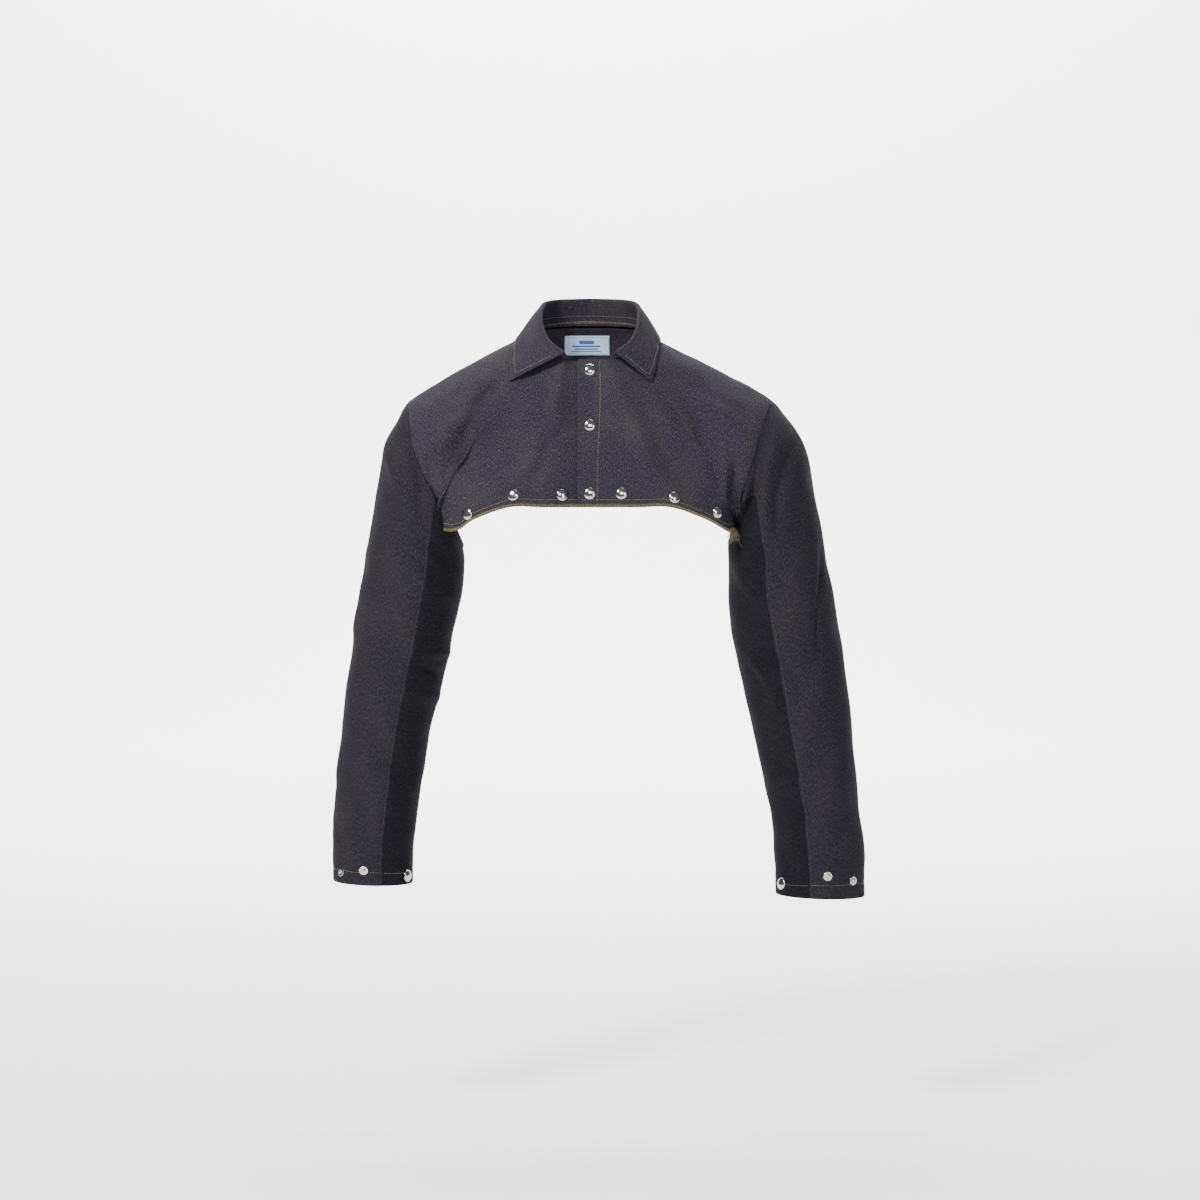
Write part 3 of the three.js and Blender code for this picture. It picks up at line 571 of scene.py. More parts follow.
def fold_plane(sign):
    a, b, c = fold_points * [sign, 1, 1]
    n = np.cross(b - a, c - a)
    return a, n / np.linalg.norm(n)


def fold_ray(surface, sign, between, v):
    """The u at which each line of constant v crosses the fold plane."""
    a, n = fold_plane(sign)
    v = np.asarray(v, float)
    low, high = (np.full(len(v), float(end)) for end in between)
    start = np.sign((surface.at(low, v) - a) @ n)
    for _ in range(30):
        middle = (low + high) / 2
        same = np.sign((surface.at(middle, v) - a) @ n) == start
        low, high = np.where(same, middle, low), np.where(same, high, middle)
    return (low + high) / 2


for name, sign in SIGN.items():
    a, n = fold_plane(sign)

# %% [markdown]
# ## How the pieces are hung
# The fronts, facings and collar ends, and the sides, backs, sleeve panels and cuff turnings of each arm, only
# have their transforms baked into their meshes; nothing makes them bend with a joint. The side, the back and
# the sleeve of each arm meet along the armhole. Every other piece is attached to the torso.


def hang_on_flap(piece, name):
    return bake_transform(piece)


def hang_on_arm(piece, name):
    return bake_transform(piece)


def hang_on_torso(piece, name):
    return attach(piece, "torso")


# %% [markdown]
# ## Thread, twill and nickel
# Charcoal twill is not one colour: its yarns are spun from dark purple-grey, olive-grey and near-black
# fibres. The node group below makes three things that every cloth here uses: the speckle of mixed yarns,
# the diagonal ribs of the twill, and a slow change in shade from dyeing and wear. It works on a UV map in
# millimetres laid along the warp, so the yarns run the right way on each piece.


# %% A node group for mixed-yarn twill
def new_group(name, inputs, outputs):
    group = bpy.data.node_groups.new(name, "ShaderNodeTree")
    for label, kind, value in inputs:
        socket = group.interface.new_socket(label, in_out="INPUT", socket_type=kind)
        socket.default_value = value
    for label, kind in outputs:
        group.interface.new_socket(label, in_out="OUTPUT", socket_type=kind)
    return group, group.nodes.new("NodeGroupInput"), group.nodes.new("NodeGroupOutput")


class Wiring:
    """Short words for adding nodes to one tree."""

    def __init__(self, tree):
        self.tree = tree

    def node(self, kind, inputs=None, **settings):
        node = self.tree.nodes.new(kind)
        for key, value in settings.items():
            setattr(node, key, value)
        for key, value in (inputs or {}).items():
            if isinstance(value, bpy.types.NodeSocket):
                self.tree.links.new(value, node.inputs[key])
            else:
                node.inputs[key].default_value = value
        return node

    def math(self, operation, a, b=0.0, c=0.0):
        return self.node("ShaderNodeMath", {0: a, 1: b, 2: c}, operation=operation).outputs[0]

    def mix(self, factor, a, b, blend="MIX"):
        node = self.node("ShaderNodeMix", {"Factor": factor, 6: a, 7: b}, data_type="RGBA", blend_type=blend)
        return node.outputs[2]

    def spread(self, value, low, high, to_low=0.0, to_high=1.0):
        settings = {"Value": value, "From Min": low, "From Max": high, "To Min": to_low, "To Max": to_high}
        return self.node("ShaderNodeMapRange", settings).outputs[0]

    def link(self, a, b):
        self.tree.links.new(a, b)


COLOUR, NUMBER = "NodeSocketColor", "NodeSocketFloat"
twill, given, made = new_group(
    "mixed_yarn_twill",
    [("Yarn", COLOUR, (0.06, 0.052, 0.068, 1)), ("Light yarn", COLOUR, (0.15, 0.14, 0.11, 1)),
     ("Dark yarn", COLOUR, (0.016, 0.014, 0.024, 1)), ("Rib pitch", NUMBER, 1.1), ("Wear", NUMBER, 0.5)],
    [("Color", COLOUR), ("Roughness", NUMBER), ("Height", NUMBER)])
w = Wiring(twill)
uv = w.node("ShaderNodeUVMap", uv_map="warp").outputs[0]
parts = w.node("ShaderNodeSeparateXYZ", {0: uv})
across, along = parts.outputs[0], parts.outputs[1]


def yarn_noise(scale_across, scale_along, detail, lift=0.0):
    place = w.node("ShaderNodeCombineXYZ", {0: w.math("MULTIPLY", across, scale_across),
                                            1: w.math("MULTIPLY", along, scale_along), 2: lift})
    return w.node("ShaderNodeTexNoise",
                  {"Vector": place.outputs[0], "Scale": 1.0, "Detail": detail}).outputs[0]


warp_speckle = yarn_noise(0.95, 0.38, 2, 3.0)
weft_speckle = yarn_noise(0.38, 0.95, 2, 9.0)
cloud = yarn_noise(0.018, 0.012, 3, 5.0)
slub = yarn_noise(0.5, 0.2, 1, 14.0)
diagonal = w.math("ADD", w.math("DIVIDE", across, given.outputs["Rib pitch"]),
                  w.math("DIVIDE", along, given.outputs["Rib pitch"]))
rib = w.math("MULTIPLY_ADD", w.math("SINE", w.math("MULTIPLY", diagonal, math.pi * 2)), 0.5, 0.5)
light = w.spread(warp_speckle, 0.47, 0.7)
dark = w.spread(weft_speckle, 0.48, 0.72)
colour = w.mix(w.math("MULTIPLY", light, 0.85), given.outputs["Yarn"], given.outputs["Light yarn"])
colour = w.mix(w.math("MULTIPLY", dark, 0.6), colour, given.outputs["Dark yarn"])
colour = w.mix(w.spread(slub, 0.6, 0.8, 0, 0.12), colour, given.outputs["Light yarn"])
colour = w.mix(w.math("MULTIPLY", rib, 0.22), colour, given.outputs["Dark yarn"])
worn = w.math("MULTIPLY", w.spread(cloud, 0.45, 0.7, 0, 0.5), given.outputs["Wear"])
colour = w.mix(worn, colour, given.outputs["Light yarn"])
w.link(colour, made.inputs["Color"])
w.link(w.spread(warp_speckle, 0.3, 0.7, 0.98, 0.82), made.inputs["Roughness"])
height = w.math("ADD", w.math("MULTIPLY", rib, 0.5), w.math("MULTIPLY", warp_speckle, 0.6))
w.link(w.math("ADD", height, w.math("MULTIPLY", weft_speckle, 0.4)), made.inputs["Height"])
print("twill group:", len(twill.nodes), "nodes")


# %% [markdown]
# ## Finishes
# The cape's body, its sleeves and its facings are the same cloth, but their finishes are not one colour: the
# sleeve copy is painted darker than the cape's, and the under-arm and inside copies darker still, as painted
# shade on the hanging sleeves, under the arms and inside the garment. Heavy cotton has a soft sheen at its
# edges from the nap, so each cloth has a low sheen and almost no gloss. The thread is olive; the press studs
# are plated nickel with fine scratches and duller rims.


# %% Cloth finishes
def cloth_finish(name, yarn, light_yarn, dark_yarn, wear, sheen):
    material = bpy.data.materials.new(name)
    material.use_nodes = True
    tree = material.node_tree
    tree.nodes.clear()
    w = Wiring(tree)
    group = w.node("ShaderNodeGroup", node_tree=twill)
    for socket, value in (("Yarn", yarn), ("Light yarn", light_yarn), ("Dark yarn", dark_yarn)):
        group.inputs[socket].default_value = (*value, 1)
    group.inputs["Wear"].default_value = wear
    bump = w.node("ShaderNodeBump", {"Height": group.outputs["Height"], "Strength": 0.35, "Distance": 0.0003})
    shader = w.node("ShaderNodeBsdfPrincipled", {
        "Base Color": group.outputs["Color"], "Roughness": group.outputs["Roughness"],
        "Normal": bump.outputs[0],
        "Specular IOR Level": 0.08, "Sheen Weight": sheen, "Sheen Roughness": 0.45,
        "Sheen Tint": (0.62, 0.60, 0.52, 1)})
    w.node("ShaderNodeOutputMaterial", {"Surface": shader.outputs[0]})
    return material


cloths = {  # yarn, light yarn, dark yarn, wear, sheen
    "cape": ((0.0175, 0.0140, 0.0290), (0.062, 0.058, 0.044), (0.0042, 0.0030, 0.0090), 0.34, 0.02),
    # Darker copy of the cape's twill for the top sleeve panels: painted shade on the hanging sleeves.
    "sleeve": ((0.0115, 0.0098, 0.0190), (0.042, 0.039, 0.031), (0.0030, 0.0026, 0.0060), 0.26, 0.015),
    # Darker copy of the same twill for the facings and cuff turnings: painted shade inside the garment.
    "inside": ((0.0050, 0.0050, 0.0080), (0.016, 0.016, 0.017), (0.0016, 0.0016, 0.003), 0.12, 0.01),
    # Darkest copy of the same twill, for the panels under the arms: painted shade in the underarms.
    "under_sleeve": ((0.0050, 0.0050, 0.0088), (0.018, 0.018, 0.018), (0.0014, 0.0014, 0.0030), 0.2, 0.01),
}
finishes = {name: cloth_finish(f"{name}_twill", *row) for name, row in cloths.items()}
print("cloth finishes:", sorted(finishes))


# %% Thread, label and nickel finishes
def plain_finish(name, colour, roughness, metallic=0.0, speckle=0.0, scale=400.0, bump=0.0, **sockets):
    """A finish whose colour and roughness change a little with a fine noise in the object's own space."""
    material = bpy.data.materials.new(name)
    material.use_nodes = True
    tree = material.node_tree
    tree.nodes.clear()
    w = Wiring(tree)
    place = w.node("ShaderNodeTexCoord").outputs["Object"]
    noise = w.node("ShaderNodeTexNoise", {"Vector": place, "Scale": scale, "Detail": 3.0}).outputs[0]
    darker = tuple(c * (1 - speckle) for c in colour)
    lighter = tuple(min(1, c * (1 + speckle)) for c in colour)
    tint = w.mix(w.spread(noise, 0.3, 0.7), (*darker, 1), (*lighter, 1))
    rough = w.spread(noise, 0.3, 0.7, roughness * 0.8, min(1, roughness * 1.2))
    shader = w.node("ShaderNodeBsdfPrincipled",
                    {"Base Color": tint, "Roughness": rough, "Metallic": metallic, **sockets})
    if bump:
        w.link(w.node("ShaderNodeBump", {"Height": noise, "Strength": bump, "Distance": 0.0002}).outputs[0],
               shader.inputs["Normal"])
    w.node("ShaderNodeOutputMaterial", {"Surface": shader.outputs[0]})
    return material


stitching = dict(speckle=0.35, scale=900, bump=0.3)
finishes["thread"] = plain_finish("olive_thread", (0.135, 0.118, 0.052), 0.7, **stitching)
finishes["dark_thread"] = plain_finish("charcoal_thread", (0.016, 0.014, 0.020), 0.75, **stitching)
finishes["overlock"] = plain_finish("overlock_thread", (0.120, 0.105, 0.050), 0.8,
                                    speckle=0.4, scale=700, bump=0.3)
finishes["label"] = plain_finish("label_tape", (0.40, 0.55, 0.76), 0.55, speckle=0.08, scale=1500, bump=0.5,
                                 **{"Sheen Weight": 0.2})
finishes["print"] = plain_finish("label_print", (0.03, 0.08, 0.32), 0.6, speckle=0.15, scale=900)
finishes["nickel"] = plain_finish("plated_nickel", (0.44, 0.435, 0.42), 0.13, metallic=1.0,
                                  speckle=0.06, scale=260, bump=0.04)
finishes["worn_nickel"] = plain_finish("worn_nickel", (0.36, 0.35, 0.32), 0.26, metallic=1.0,
                                       speckle=0.2, scale=300, bump=0.1)
print("finishes:", len(finishes))

# %% [markdown]
# ## A layer of cloth
# Each piece of cloth is a grid of points pushed out and in by half its thickness and closed round the
# edge. Near a cut or folded edge the two faces come together, so the edge is round and a seam is a small
# groove. The warp map holds millimetres along and across the cloth for the weave.

# %% Grids of running numbers
SOFT_EDGE = (0, 0.25, 0.7, 1.4)
EDGE_REACH = 0.9
THINNEST = 0.06


def steps(start, end, n, length, soft=(True, True)):
    """n steps from start to end, with closer ones beside each soft edge; length is in millimetres."""
    at = np.linspace(0, 1, n + 1)
    low = [d / length for d in SOFT_EDGE] if soft[0] else [0]
    high = [1 - d / length for d in SOFT_EDGE] if soft[1] else [1]
    inner = at[(at > low[-1] * 1.5) & (at < 1 - (1 - high[-1]) * 1.5)]
    return start + (end - start) * np.unique(np.r_[low, inner, high])


def grid(u, v):
    """Every pair of two lists of running numbers."""
    return np.meshgrid(u, v, indexing="ij")


def arc(points, axis):
    """Distance run along one axis of a grid of points."""
    gaps = np.linalg.norm(np.diff(points, axis=axis), axis=2)
    start = np.zeros_like(np.take(gaps, [0], axis=axis))
    return np.concatenate([start, np.cumsum(gaps, axis=axis)], axis=axis)


def edge_round(run, low, high, thick):
    """How full the cloth is at each distance from its soft edges."""
    full = np.ones_like(run)
    for soft, distance in ((low, run), (high, run[-1:] - run)):
        if soft:
            near = np.clip(distance / (thick * EDGE_REACH), 0, 1)
            full = np.minimum(full, np.sqrt(np.clip(1 - (1 - near) ** 2, THINNEST, 1)))
    return full


print("a layer's edge is rounded over", round(CLOTH * EDGE_REACH, 2), "mm")


# %% Faces of a closed layer
def grid_faces(nu, nv, ring):
    """Faces of an outer and an inner grid of nu by nv steps, joined round the edge."""
    columns = nu if ring else nu + 1
    i, j = grid(np.arange(nu), np.arange(nv))
    a, b = i * (nv + 1) + j, ((i + 1) % columns) * (nv + 1) + j
    outer = np.stack([a, b, b + 1, a + 1], -1).reshape(-1, 4)
    shift = columns * (nv + 1)
    faces = [outer, outer[:, ::-1] + shift]
    i = np.arange(nu)
    a, b = i * (nv + 1), ((i + 1) % columns) * (nv + 1)
    faces.append(np.stack([a, a + shift, b + shift, b], -1))
    faces.append(np.stack([a + nv, b + nv, b + nv + shift, a + nv + shift], -1))
    if not ring:
        j = np.arange(nv)
        faces.append(np.stack([j, j + 1, j + 1 + shift, j + shift], -1))
        j = j + nu * (nv + 1)
        faces.append(np.stack([j, j + shift, j + 1 + shift, j + 1], -1))
    return np.concatenate(faces)


def make_mesh(name, points, faces, finish):
    """A smooth piece from points in millimetres and a list of faces."""
    mesh = bpy.data.meshes.new(name)
    mesh.from_pydata((np.asarray(points) * MM).tolist(), [], faces)
    mesh.materials.append(finishes[finish])
    mesh.shade_smooth()
    piece = bpy.data.objects.new(name, mesh)
    bpy.context.scene.collection.objects.link(piece)
    return piece


print("a grid of 2 by 3 steps has", len(grid_faces(2, 3, False)), "faces when closed")

# %% A layer of cloth
sheets = {}


def cloth(name, surface, u, v, finish, warp, thick=CLOTH, depth=0.0, soft_u=(True, True), soft_v=(True, True),
          shared=(), ring=False):
    """u and v are grids of running numbers; shared lists the columns that another piece shares."""
    nu, nv = u.shape
    p = surface.at(u.ravel(), v.ravel()).reshape(nu, nv, 3)
    du = np.gradient(np.concatenate([p[-1:], p, p[:1]]), axis=0)[1:-1] if ring else np.gradient(p, axis=0)
    n = np.cross(du, np.gradient(p, axis=1))
    n /= np.maximum(np.linalg.norm(n, axis=2, keepdims=True), 1e-9)
    middle = (nu // 2, nv // 2)
    if n[middle] @ surface.normal(u[middle][None], v[middle][None])[0] < 0:
        n = -n
    for column in shared:
        n[column] = surface.normal(u[column], v[column])
    p = p - n * depth
    full = np.ones((nu, nv)) if ring else edge_round(arc(p, 0), *soft_u, thick)
    full = np.minimum(full, edge_round(arc(p, 1).T, *soft_v, thick).T)[..., None]
    outer, inner = p + n * full * thick / 2, p - n * full * thick / 2
    points = np.concatenate([outer.reshape(-1, 3), inner.reshape(-1, 3)])
    faces = grid_faces(nu if ring else nu - 1, nv - 1, ring)
    # The faces are turned round if one in the middle of the outer grid looks inwards.
    pick = faces[(faces[:, 0] == middle[0] * nv + middle[1]) & (faces < nu * nv).all(axis=1)][0]
    a, b, c = points[pick[0]], points[pick[1]], points[pick[3]]
    if np.cross(b - a, c - a) @ n[middle] < 0:
        faces = faces[:, ::-1]
    piece = make_mesh(name, points, faces.tolist(), finish)
    mesh = piece.data
    corner = np.empty(len(mesh.loops), np.int32)
    mesh.loops.foreach_get("vertex_index", corner)
    flat = warp(p, u, v).reshape(-1, 2)
    both = np.concatenate([flat, flat])[corner]
    mesh.uv_layers.new(name="warp").data.foreach_set("uv", both.astype(np.float32).ravel())
    if shared:
        own = np.zeros((2, nu, nv, 3))
        for column in shared:
            own[0, column], own[1, column] = n[column], -n[column]
        mesh.normals_split_custom_set_from_vertices(own.reshape(-1, 3).tolist())
    wide = max(np.ptp(flat[:, 0]), arc(p, 0)[-1].mean())
    long = max(np.ptp(flat[:, 1]), arc(p, 1)[:, -1].mean())
    cells = np.cross(np.diff(p, axis=0)[:, :-1], np.diff(p, axis=1)[:-1])
    sheets[name] = [wide * MM, long * MM, np.linalg.norm(cells, axis=2).sum() * MM * MM]
    return piece


print("a layer is", CLOTH, "mm thick unless told otherwise")

# %% [markdown]
# ## Warp maps
# The body is cut with its warp upright, so its map is a flat projection, tilted forward in front and
# backward behind to follow the slope of the shoulders. A sleeve's map is unrolled from its tube, and the
# collar's runs along the neck.


# %% Warp maps of the body, the sleeves and the collar
def body_warp(p, u, v):
    tilt = np.tanh(p[..., 1] / 25)
    return np.stack([p[..., 0], p[..., 2] * 0.92 - np.abs(p[..., 1]) * 0.42 * np.abs(tilt)], -1)


def run_warp(p, u, v):
    return np.stack([arc(p, 0), arc(p, 1)], -1)


def sleeve_warp(p, u, v):
    return np.stack([u * 1.05, arc(p, 1)], -1)


print("warp maps ready")

# %% [markdown]
# ## Cutting the body
# Each half is three pieces: the front flap, the side in front and the back. The flap and the side meet on
# the fold, the side and the back in the shoulder seam.

# %% Fronts, sides and backs
ROWS = 110
SHOULDER_OVERLAP = 0.012
CENTRE_OVERLAP = 0.02
pieces = {}
unit = steps(0, 1, ROWS, 200)
for name, sign in SIGN.items():
    surface = cloth_body[name]
    fold = fold_ray(body[name], sign, FOLD_BETWEEN, unit)
    # The flap: from the front edge to the fold. Its columns are shares of the way there.
    share, v = grid(steps(0, 1, 70, 150, (True, False)), unit)
    pieces[f"{name}_front"] = cloth(f"{name}_front_twill", surface, share * fold, v, "cape", body_warp,
                                    soft_u=(True, False), shared=[-1])
    # The side: from the fold to the shoulder seam.
    share, v = grid(steps(0, 1, 84, 150, (False, True)), unit)
    u = fold + share * (RAY_SHOULDER + SHOULDER_OVERLAP - fold)
    pieces[f"{name}_front_side"] = cloth(f"{name}_side_twill", surface, u, v, "cape", body_warp,
                                         soft_u=(False, True), shared=[0])
    # The back: from the shoulder seam to the centre-back seam.
    u, v = grid(steps(RAY_SHOULDER - SHOULDER_OVERLAP, RAY_BACK + CENTRE_OVERLAP, 150, 330), unit)
    pieces[f"{name}_back"] = cloth(f"{name}_back_twill", surface, u, v, "cape", body_warp)
print("body pieces:", len(pieces))

# %% [markdown]
# ## Facings
# Behind each front edge lies a narrow facing, the turned-in cloth that the press studs are riveted
# through. It sits one layer behind the front.

# %% Front facings
for name, sign in SIGN.items():
    end = find(body[name], sign * FACING_IN, -110, 1, 0.5)[0]
    u, v = grid(steps(0.01, end, 12, 28), steps(0.004, 0.994, 80, 190))
    # The facing takes the darker inside copy of the twill: painted shade behind the front.
    pieces[f"{name}_front_facing"] = cloth(f"{name}_facing_twill", body[name], u, v, "inside", body_warp,
                                           depth=CAD_CLOTH + CAD_GAP)
print("facings:", [round(size, 3) for size in sheets["left_facing_twill"][:2]], "m")

# %% [markdown]
# ## Cutting the sleeves
# Each sleeve is cut in two: a wide top panel outside and a narrow one under the arm. Inside the cuff the
# hem is turned up 20 mm.

# %% Sleeve panels and cuff turnings
SLEEVE_ROWS = 250
SLEEVE_OVERLAP = 0.004
PANEL_OVERLAP = 0.06
down_arm = -SLEEVE_OVERLAP + (LAST_RING + SLEEVE_OVERLAP) * steps(0, 1, SLEEVE_ROWS, 560)
top_angles = steps(-seam_angle - PANEL_OVERLAP, seam_angle + PANEL_OVERLAP, 110, 260)
under_angles = steps(seam_angle - PANEL_OVERLAP, 360 - seam_angle + PANEL_OVERLAP, 64, 130)
round_cuff = np.linspace(0, 360, 121)[:-1]
# The under-arm panel takes the darkest copy of the twill and the top panel one darker than the cape's:
# painted shade.
panels = (("top_sleeve", top_angles, "sleeve"), ("under_sleeve", under_angles, "under_sleeve"))
for name in SIGN:
    for panel, angles, coat in panels:
        u, v = grid(angles, down_arm)
        pieces[f"{name}_{panel}"] = cloth(f"{name}_{panel}_twill", cloth_arm[name], u, v, coat, sleeve_warp)
    high, low = (arm[name].before(round_cuff, up, LAST_RING) for up in (CUFF_TURNING, 0.6))
    u, share = grid(round_cuff, steps(0, 1, 8, CUFF_TURNING))
    v = high[:, None] + (low - high)[:, None] * share
    # The cuff turning takes the same darker inside copy: painted shade inside the cuff.
    pieces[f"{name}_cuff_turning"] = cloth(f"{name}_cuff_turning_twill", arm[name], u, v, "inside",
                                           sleeve_warp,
                                           depth=CAD_CLOTH + CAD_GAP, ring=True)
print("sleeve pieces:", [n for n in sheets if "sleeve" in n])

# %% [markdown]
# ## Making the collar
# The collar is one piece round the neck, but its two front ends ride on the flaps. So it is three meshes
# that share their edges on the folds, as the body does.

# %% Collar ends and back
collar_unit = np.unique(np.r_[steps(0.04, 1, 12, 40, (True, False)), np.linspace(1, 2, 9),
                              steps(2, 3, 22, 45, (False, True))])
collar_fold = {name: fold_ray(collar[name], sign, COLLAR_FOLD_BETWEEN, collar_unit)
               for name, sign in SIGN.items()}
for name in SIGN:
    share, v = grid(steps(0, 1, 60, 90, (True, False)), collar_unit)
    u = COLLAR_END_RAY + share * (collar_fold[name] - COLLAR_END_RAY)
    pieces[f"{name}_collar"] = cloth(f"{name}_collar_end", collar[name], u, v, "cape", run_warp, thick=COLLAR,
                                     soft_u=(True, False), shared=[-1])


def collar_back(s, v):
    """s runs from -1 at the right fold through the centre back to 1 at the left fold."""
    p = np.empty((len(s), 3))
    for name, here in (("right", s < 0), ("left", s >= 0)):
        end = np.interp(v[here], collar_unit, collar_fold[name])
        p[here] = collar[name].at(RAY_BACK - np.abs(s[here]) * (RAY_BACK - end), v[here])
    return p


around_back = Surface(collar_back, 1)
u, v = grid(np.linspace(-1, 1, 181), collar_unit)
pieces["back_collar"] = cloth("back_collar_fold", around_back, u, v, "cape", run_warp, thick=COLLAR,
                              soft_u=(False, False), shared=[0, -1])
print("collar round the back:", [round(x * 1000) for x in sheets["back_collar_fold"][:2]], "mm")

# %% [markdown]
# ## Label
# A small woven tape is sewn inside the back of the neck. It carries a few plain printed bars in place of
# any words, and a row of stitches round its border.

# %% Neck label
LABEL = {"left": -33, "right": 25, "top": 14, "bottom": -11}
LABEL_DEPTH = 2.2


def label_at(x, z):
    p = np.empty((len(x), 3))
    for half, here in ((body["right"], x < 0), (body["left"], x >= 0)):
        a, b = x[here], z[here]
        p[here] = half.at(*find_all(half, a, b, RAY_BACK - np.abs(a) / 12, np.full(len(a), 0.12)))
    return p


label_columns = np.linspace(LABEL["left"], LABEL["right"], 30)
label_rows = np.linspace(LABEL["top"], LABEL["bottom"], 14)
lx, lz = grid(label_columns, label_rows)
label_points = label_at(lx.ravel(), lz.ravel()).reshape(*lx.shape, 3)


def label_surface(x, z):
    """Reads the label's grid, which is quicker than finding each point again."""
    i = np.clip((x - LABEL["left"]) / (label_columns[1] - label_columns[0]), 0, len(label_columns) - 1.001)
    j = np.clip((z - LABEL["top"]) / (label_rows[1] - label_rows[0]), 0, len(label_rows) - 1.001)
    a, b = i.astype(int), j.astype(int)
    s, t = (i - a)[:, None], (j - b)[:, None]
    g = label_points
    return (g[a, b] * (1 - s) + g[a + 1, b] * s) * (1 - t) + (g[a, b + 1] * (1 - s) + g[a + 1, b + 1] * s) * t


tape = Surface(label_surface, 1)
centre = np.array([0.0])
tape.side = -1 if tape.normal(centre, centre)[0][1] > 0 else 1
u, v = grid(np.linspace(LABEL["left"], LABEL["right"], 59), np.linspace(LABEL["top"], LABEL["bottom"], 27))
pieces["neck_label"] = cloth("neck_label_tape", tape, u, v, "label", run_warp, thick=TAPE, depth=-LABEL_DEPTH)
print("label faces", tape.normal(centre, centre)[0].round(2))

# %% Printed bars on the label
INK = 0.12
bars = [(-14, 5, 8.0, 3.4), (-23, 13, 1.6, -0.4), (-20, 10, -2.2, -3.8), (-24, 14, -5.4, -6.6)]
label_bars = []
for number, (left, right, high, low) in enumerate(bars):
    u, v = grid(np.linspace(left, right, 24), np.linspace(high, low, 4))
    label_bars.append(cloth(f"label_bar_{number}", tape, u, v, "print", run_warp, thick=INK,
                            depth=-LABEL_DEPTH - TAPE / 2, soft_u=(False, False), soft_v=(False, False)))
print("printed bars:", len(label_bars))

# %% [markdown]
# ## Thread
# Stitches are real thread, not a picture of it: each is a short bent tube that dips into the cloth at
# both ends. One helper makes any number of tubes at once from their centre lines, so the same code sews
# topstitching, overlocking and frayed ends.


# %% Tubes of thread along many centre lines
def threads(name, paths, side, radius, finish, sides=5, taper=0.45):
    """paths is (threads, points, 3) in millimetres; side is a steady vector across each thread."""
    count, n, _ = paths.shape
    run = np.gradient(paths, axis=1)
    run /= np.maximum(np.linalg.norm(run, axis=2, keepdims=True), 1e-9)
    side = np.broadcast_to(side, paths.shape)
    up = np.cross(run, side)
    up /= np.maximum(np.linalg.norm(up, axis=2, keepdims=True), 1e-9)
    across = np.cross(up, run)
    r = np.full(n, float(radius))
    r[0] = r[-1] = radius * taper
    turn = np.arange(sides) * 2 * math.pi / sides
    ring = up[:, :, None] * np.cos(turn)[:, None] + across[:, :, None] * np.sin(turn)[:, None]
    ring = ring * r[:, None, None]
    points = (paths[:, :, None] + ring).reshape(-1, 3)
    base = (np.arange(count) * n * sides)[:, None, None]
    i, j = np.arange(n - 1)[None, :, None] * sides, np.arange(sides)[None, None]
    a, b = base + i + j, base + i + (j + 1) % sides
    walls = np.stack([a, b, b + sides, a + sides], -1).reshape(-1, 4)
    caps = np.arange(sides)
    ends = np.concatenate([base[:, 0] + caps[::-1], base[:, 0] + (n - 1) * sides + caps])
    return make_mesh(name, points, walls.tolist() + ends.tolist(), finish)


print("tubes of thread ready")

# %% Lines of stitches
STITCH_ARC = np.array([-0.12, 0.2, 0.3, 0.2, -0.12])
STITCH_PITCH = 3.2
STITCH = 2.5


def run_of(points):
    """Distance run along a line of points."""
    return np.r_[0, np.cumsum(np.linalg.norm(np.diff(points, axis=0), axis=1))]


def read(table, run, at):
    """The rows of a table at the distances `at` along its line."""
    return np.stack([np.interp(at, run, table[:, c]) for c in range(3)], -1)


def stitch_paths(points, normals, pitch=STITCH_PITCH, length=STITCH, lift=CLOTH / 2):
    """Stitches along a line of points on the cloth's middle; lift is from there to the cloth's face."""
    run = run_of(points)
    starts = np.arange(pitch * 0.4, run[-1] - length, pitch)
    starts = starts + rng.normal(0, pitch * 0.03, len(starts))
    at = starts[:, None] + np.linspace(0, length, len(STITCH_ARC))[None]
    n = read(normals, run, at)
    n /= np.linalg.norm(n, axis=2, keepdims=True)
    paths = read(points, run, at) + n * (lift + STITCH_ARC)[None, :, None]
    way = paths[:, -1] - paths[:, 0]
    side = np.cross(n, way[:, None])
    side /= np.linalg.norm(side, axis=2, keepdims=True)
    paths = paths + side * rng.normal(0, 0.1, (len(starts), 1, 1))
    return paths, side


def line_on(surface, u, v):
    u, v = np.broadcast_arrays(np.asarray(u, float), np.asarray(v, float))
    return surface.at(u, v), surface.normal(u, v)


def sew(name, lines, finish="thread", radius=0.3, **options):
    """Several lines of stitches as one mesh. Each line is (points, normals)."""
    made = [stitch_paths(p, n, **options) for p, n in lines]
    paths = np.concatenate([m[0] for m in made])
    side = np.concatenate([m[1] for m in made])
    return threads(name, paths, side, radius, finish)


print("a stitch is", STITCH, "mm long in every", STITCH_PITCH, "mm")

# %% [markdown]
# ## Topstitching
# Olive thread runs down both sides of the front lap, along the hem 9 mm above its edge, round the collar
# 6 mm in from its edge and round each cuff. The stitching that holds the armholes, the long sleeve seams
# and the centre-back seam shows less, so its thread is charcoal.

# %% Stitches of the fronts, hems and seams
HEM_STITCH = 9
SEAM_STITCH = 2.4
SEAM_THREAD = 0.26
front_stitch_x = {"left": (11.4,), "right": (-19, 12)}
sewing = {}


def hem_line(name, first, last):
    k = np.linspace(first, last, 160)
    return line_on(cloth_body[name], k, body[name].before(k, HEM_STITCH, 1))


def armhole_line(name, first, last):
    k = np.linspace(first, last, 200)
    return line_on(cloth_body[name], k, body[name].before(k, SEAM_STITCH, 1))


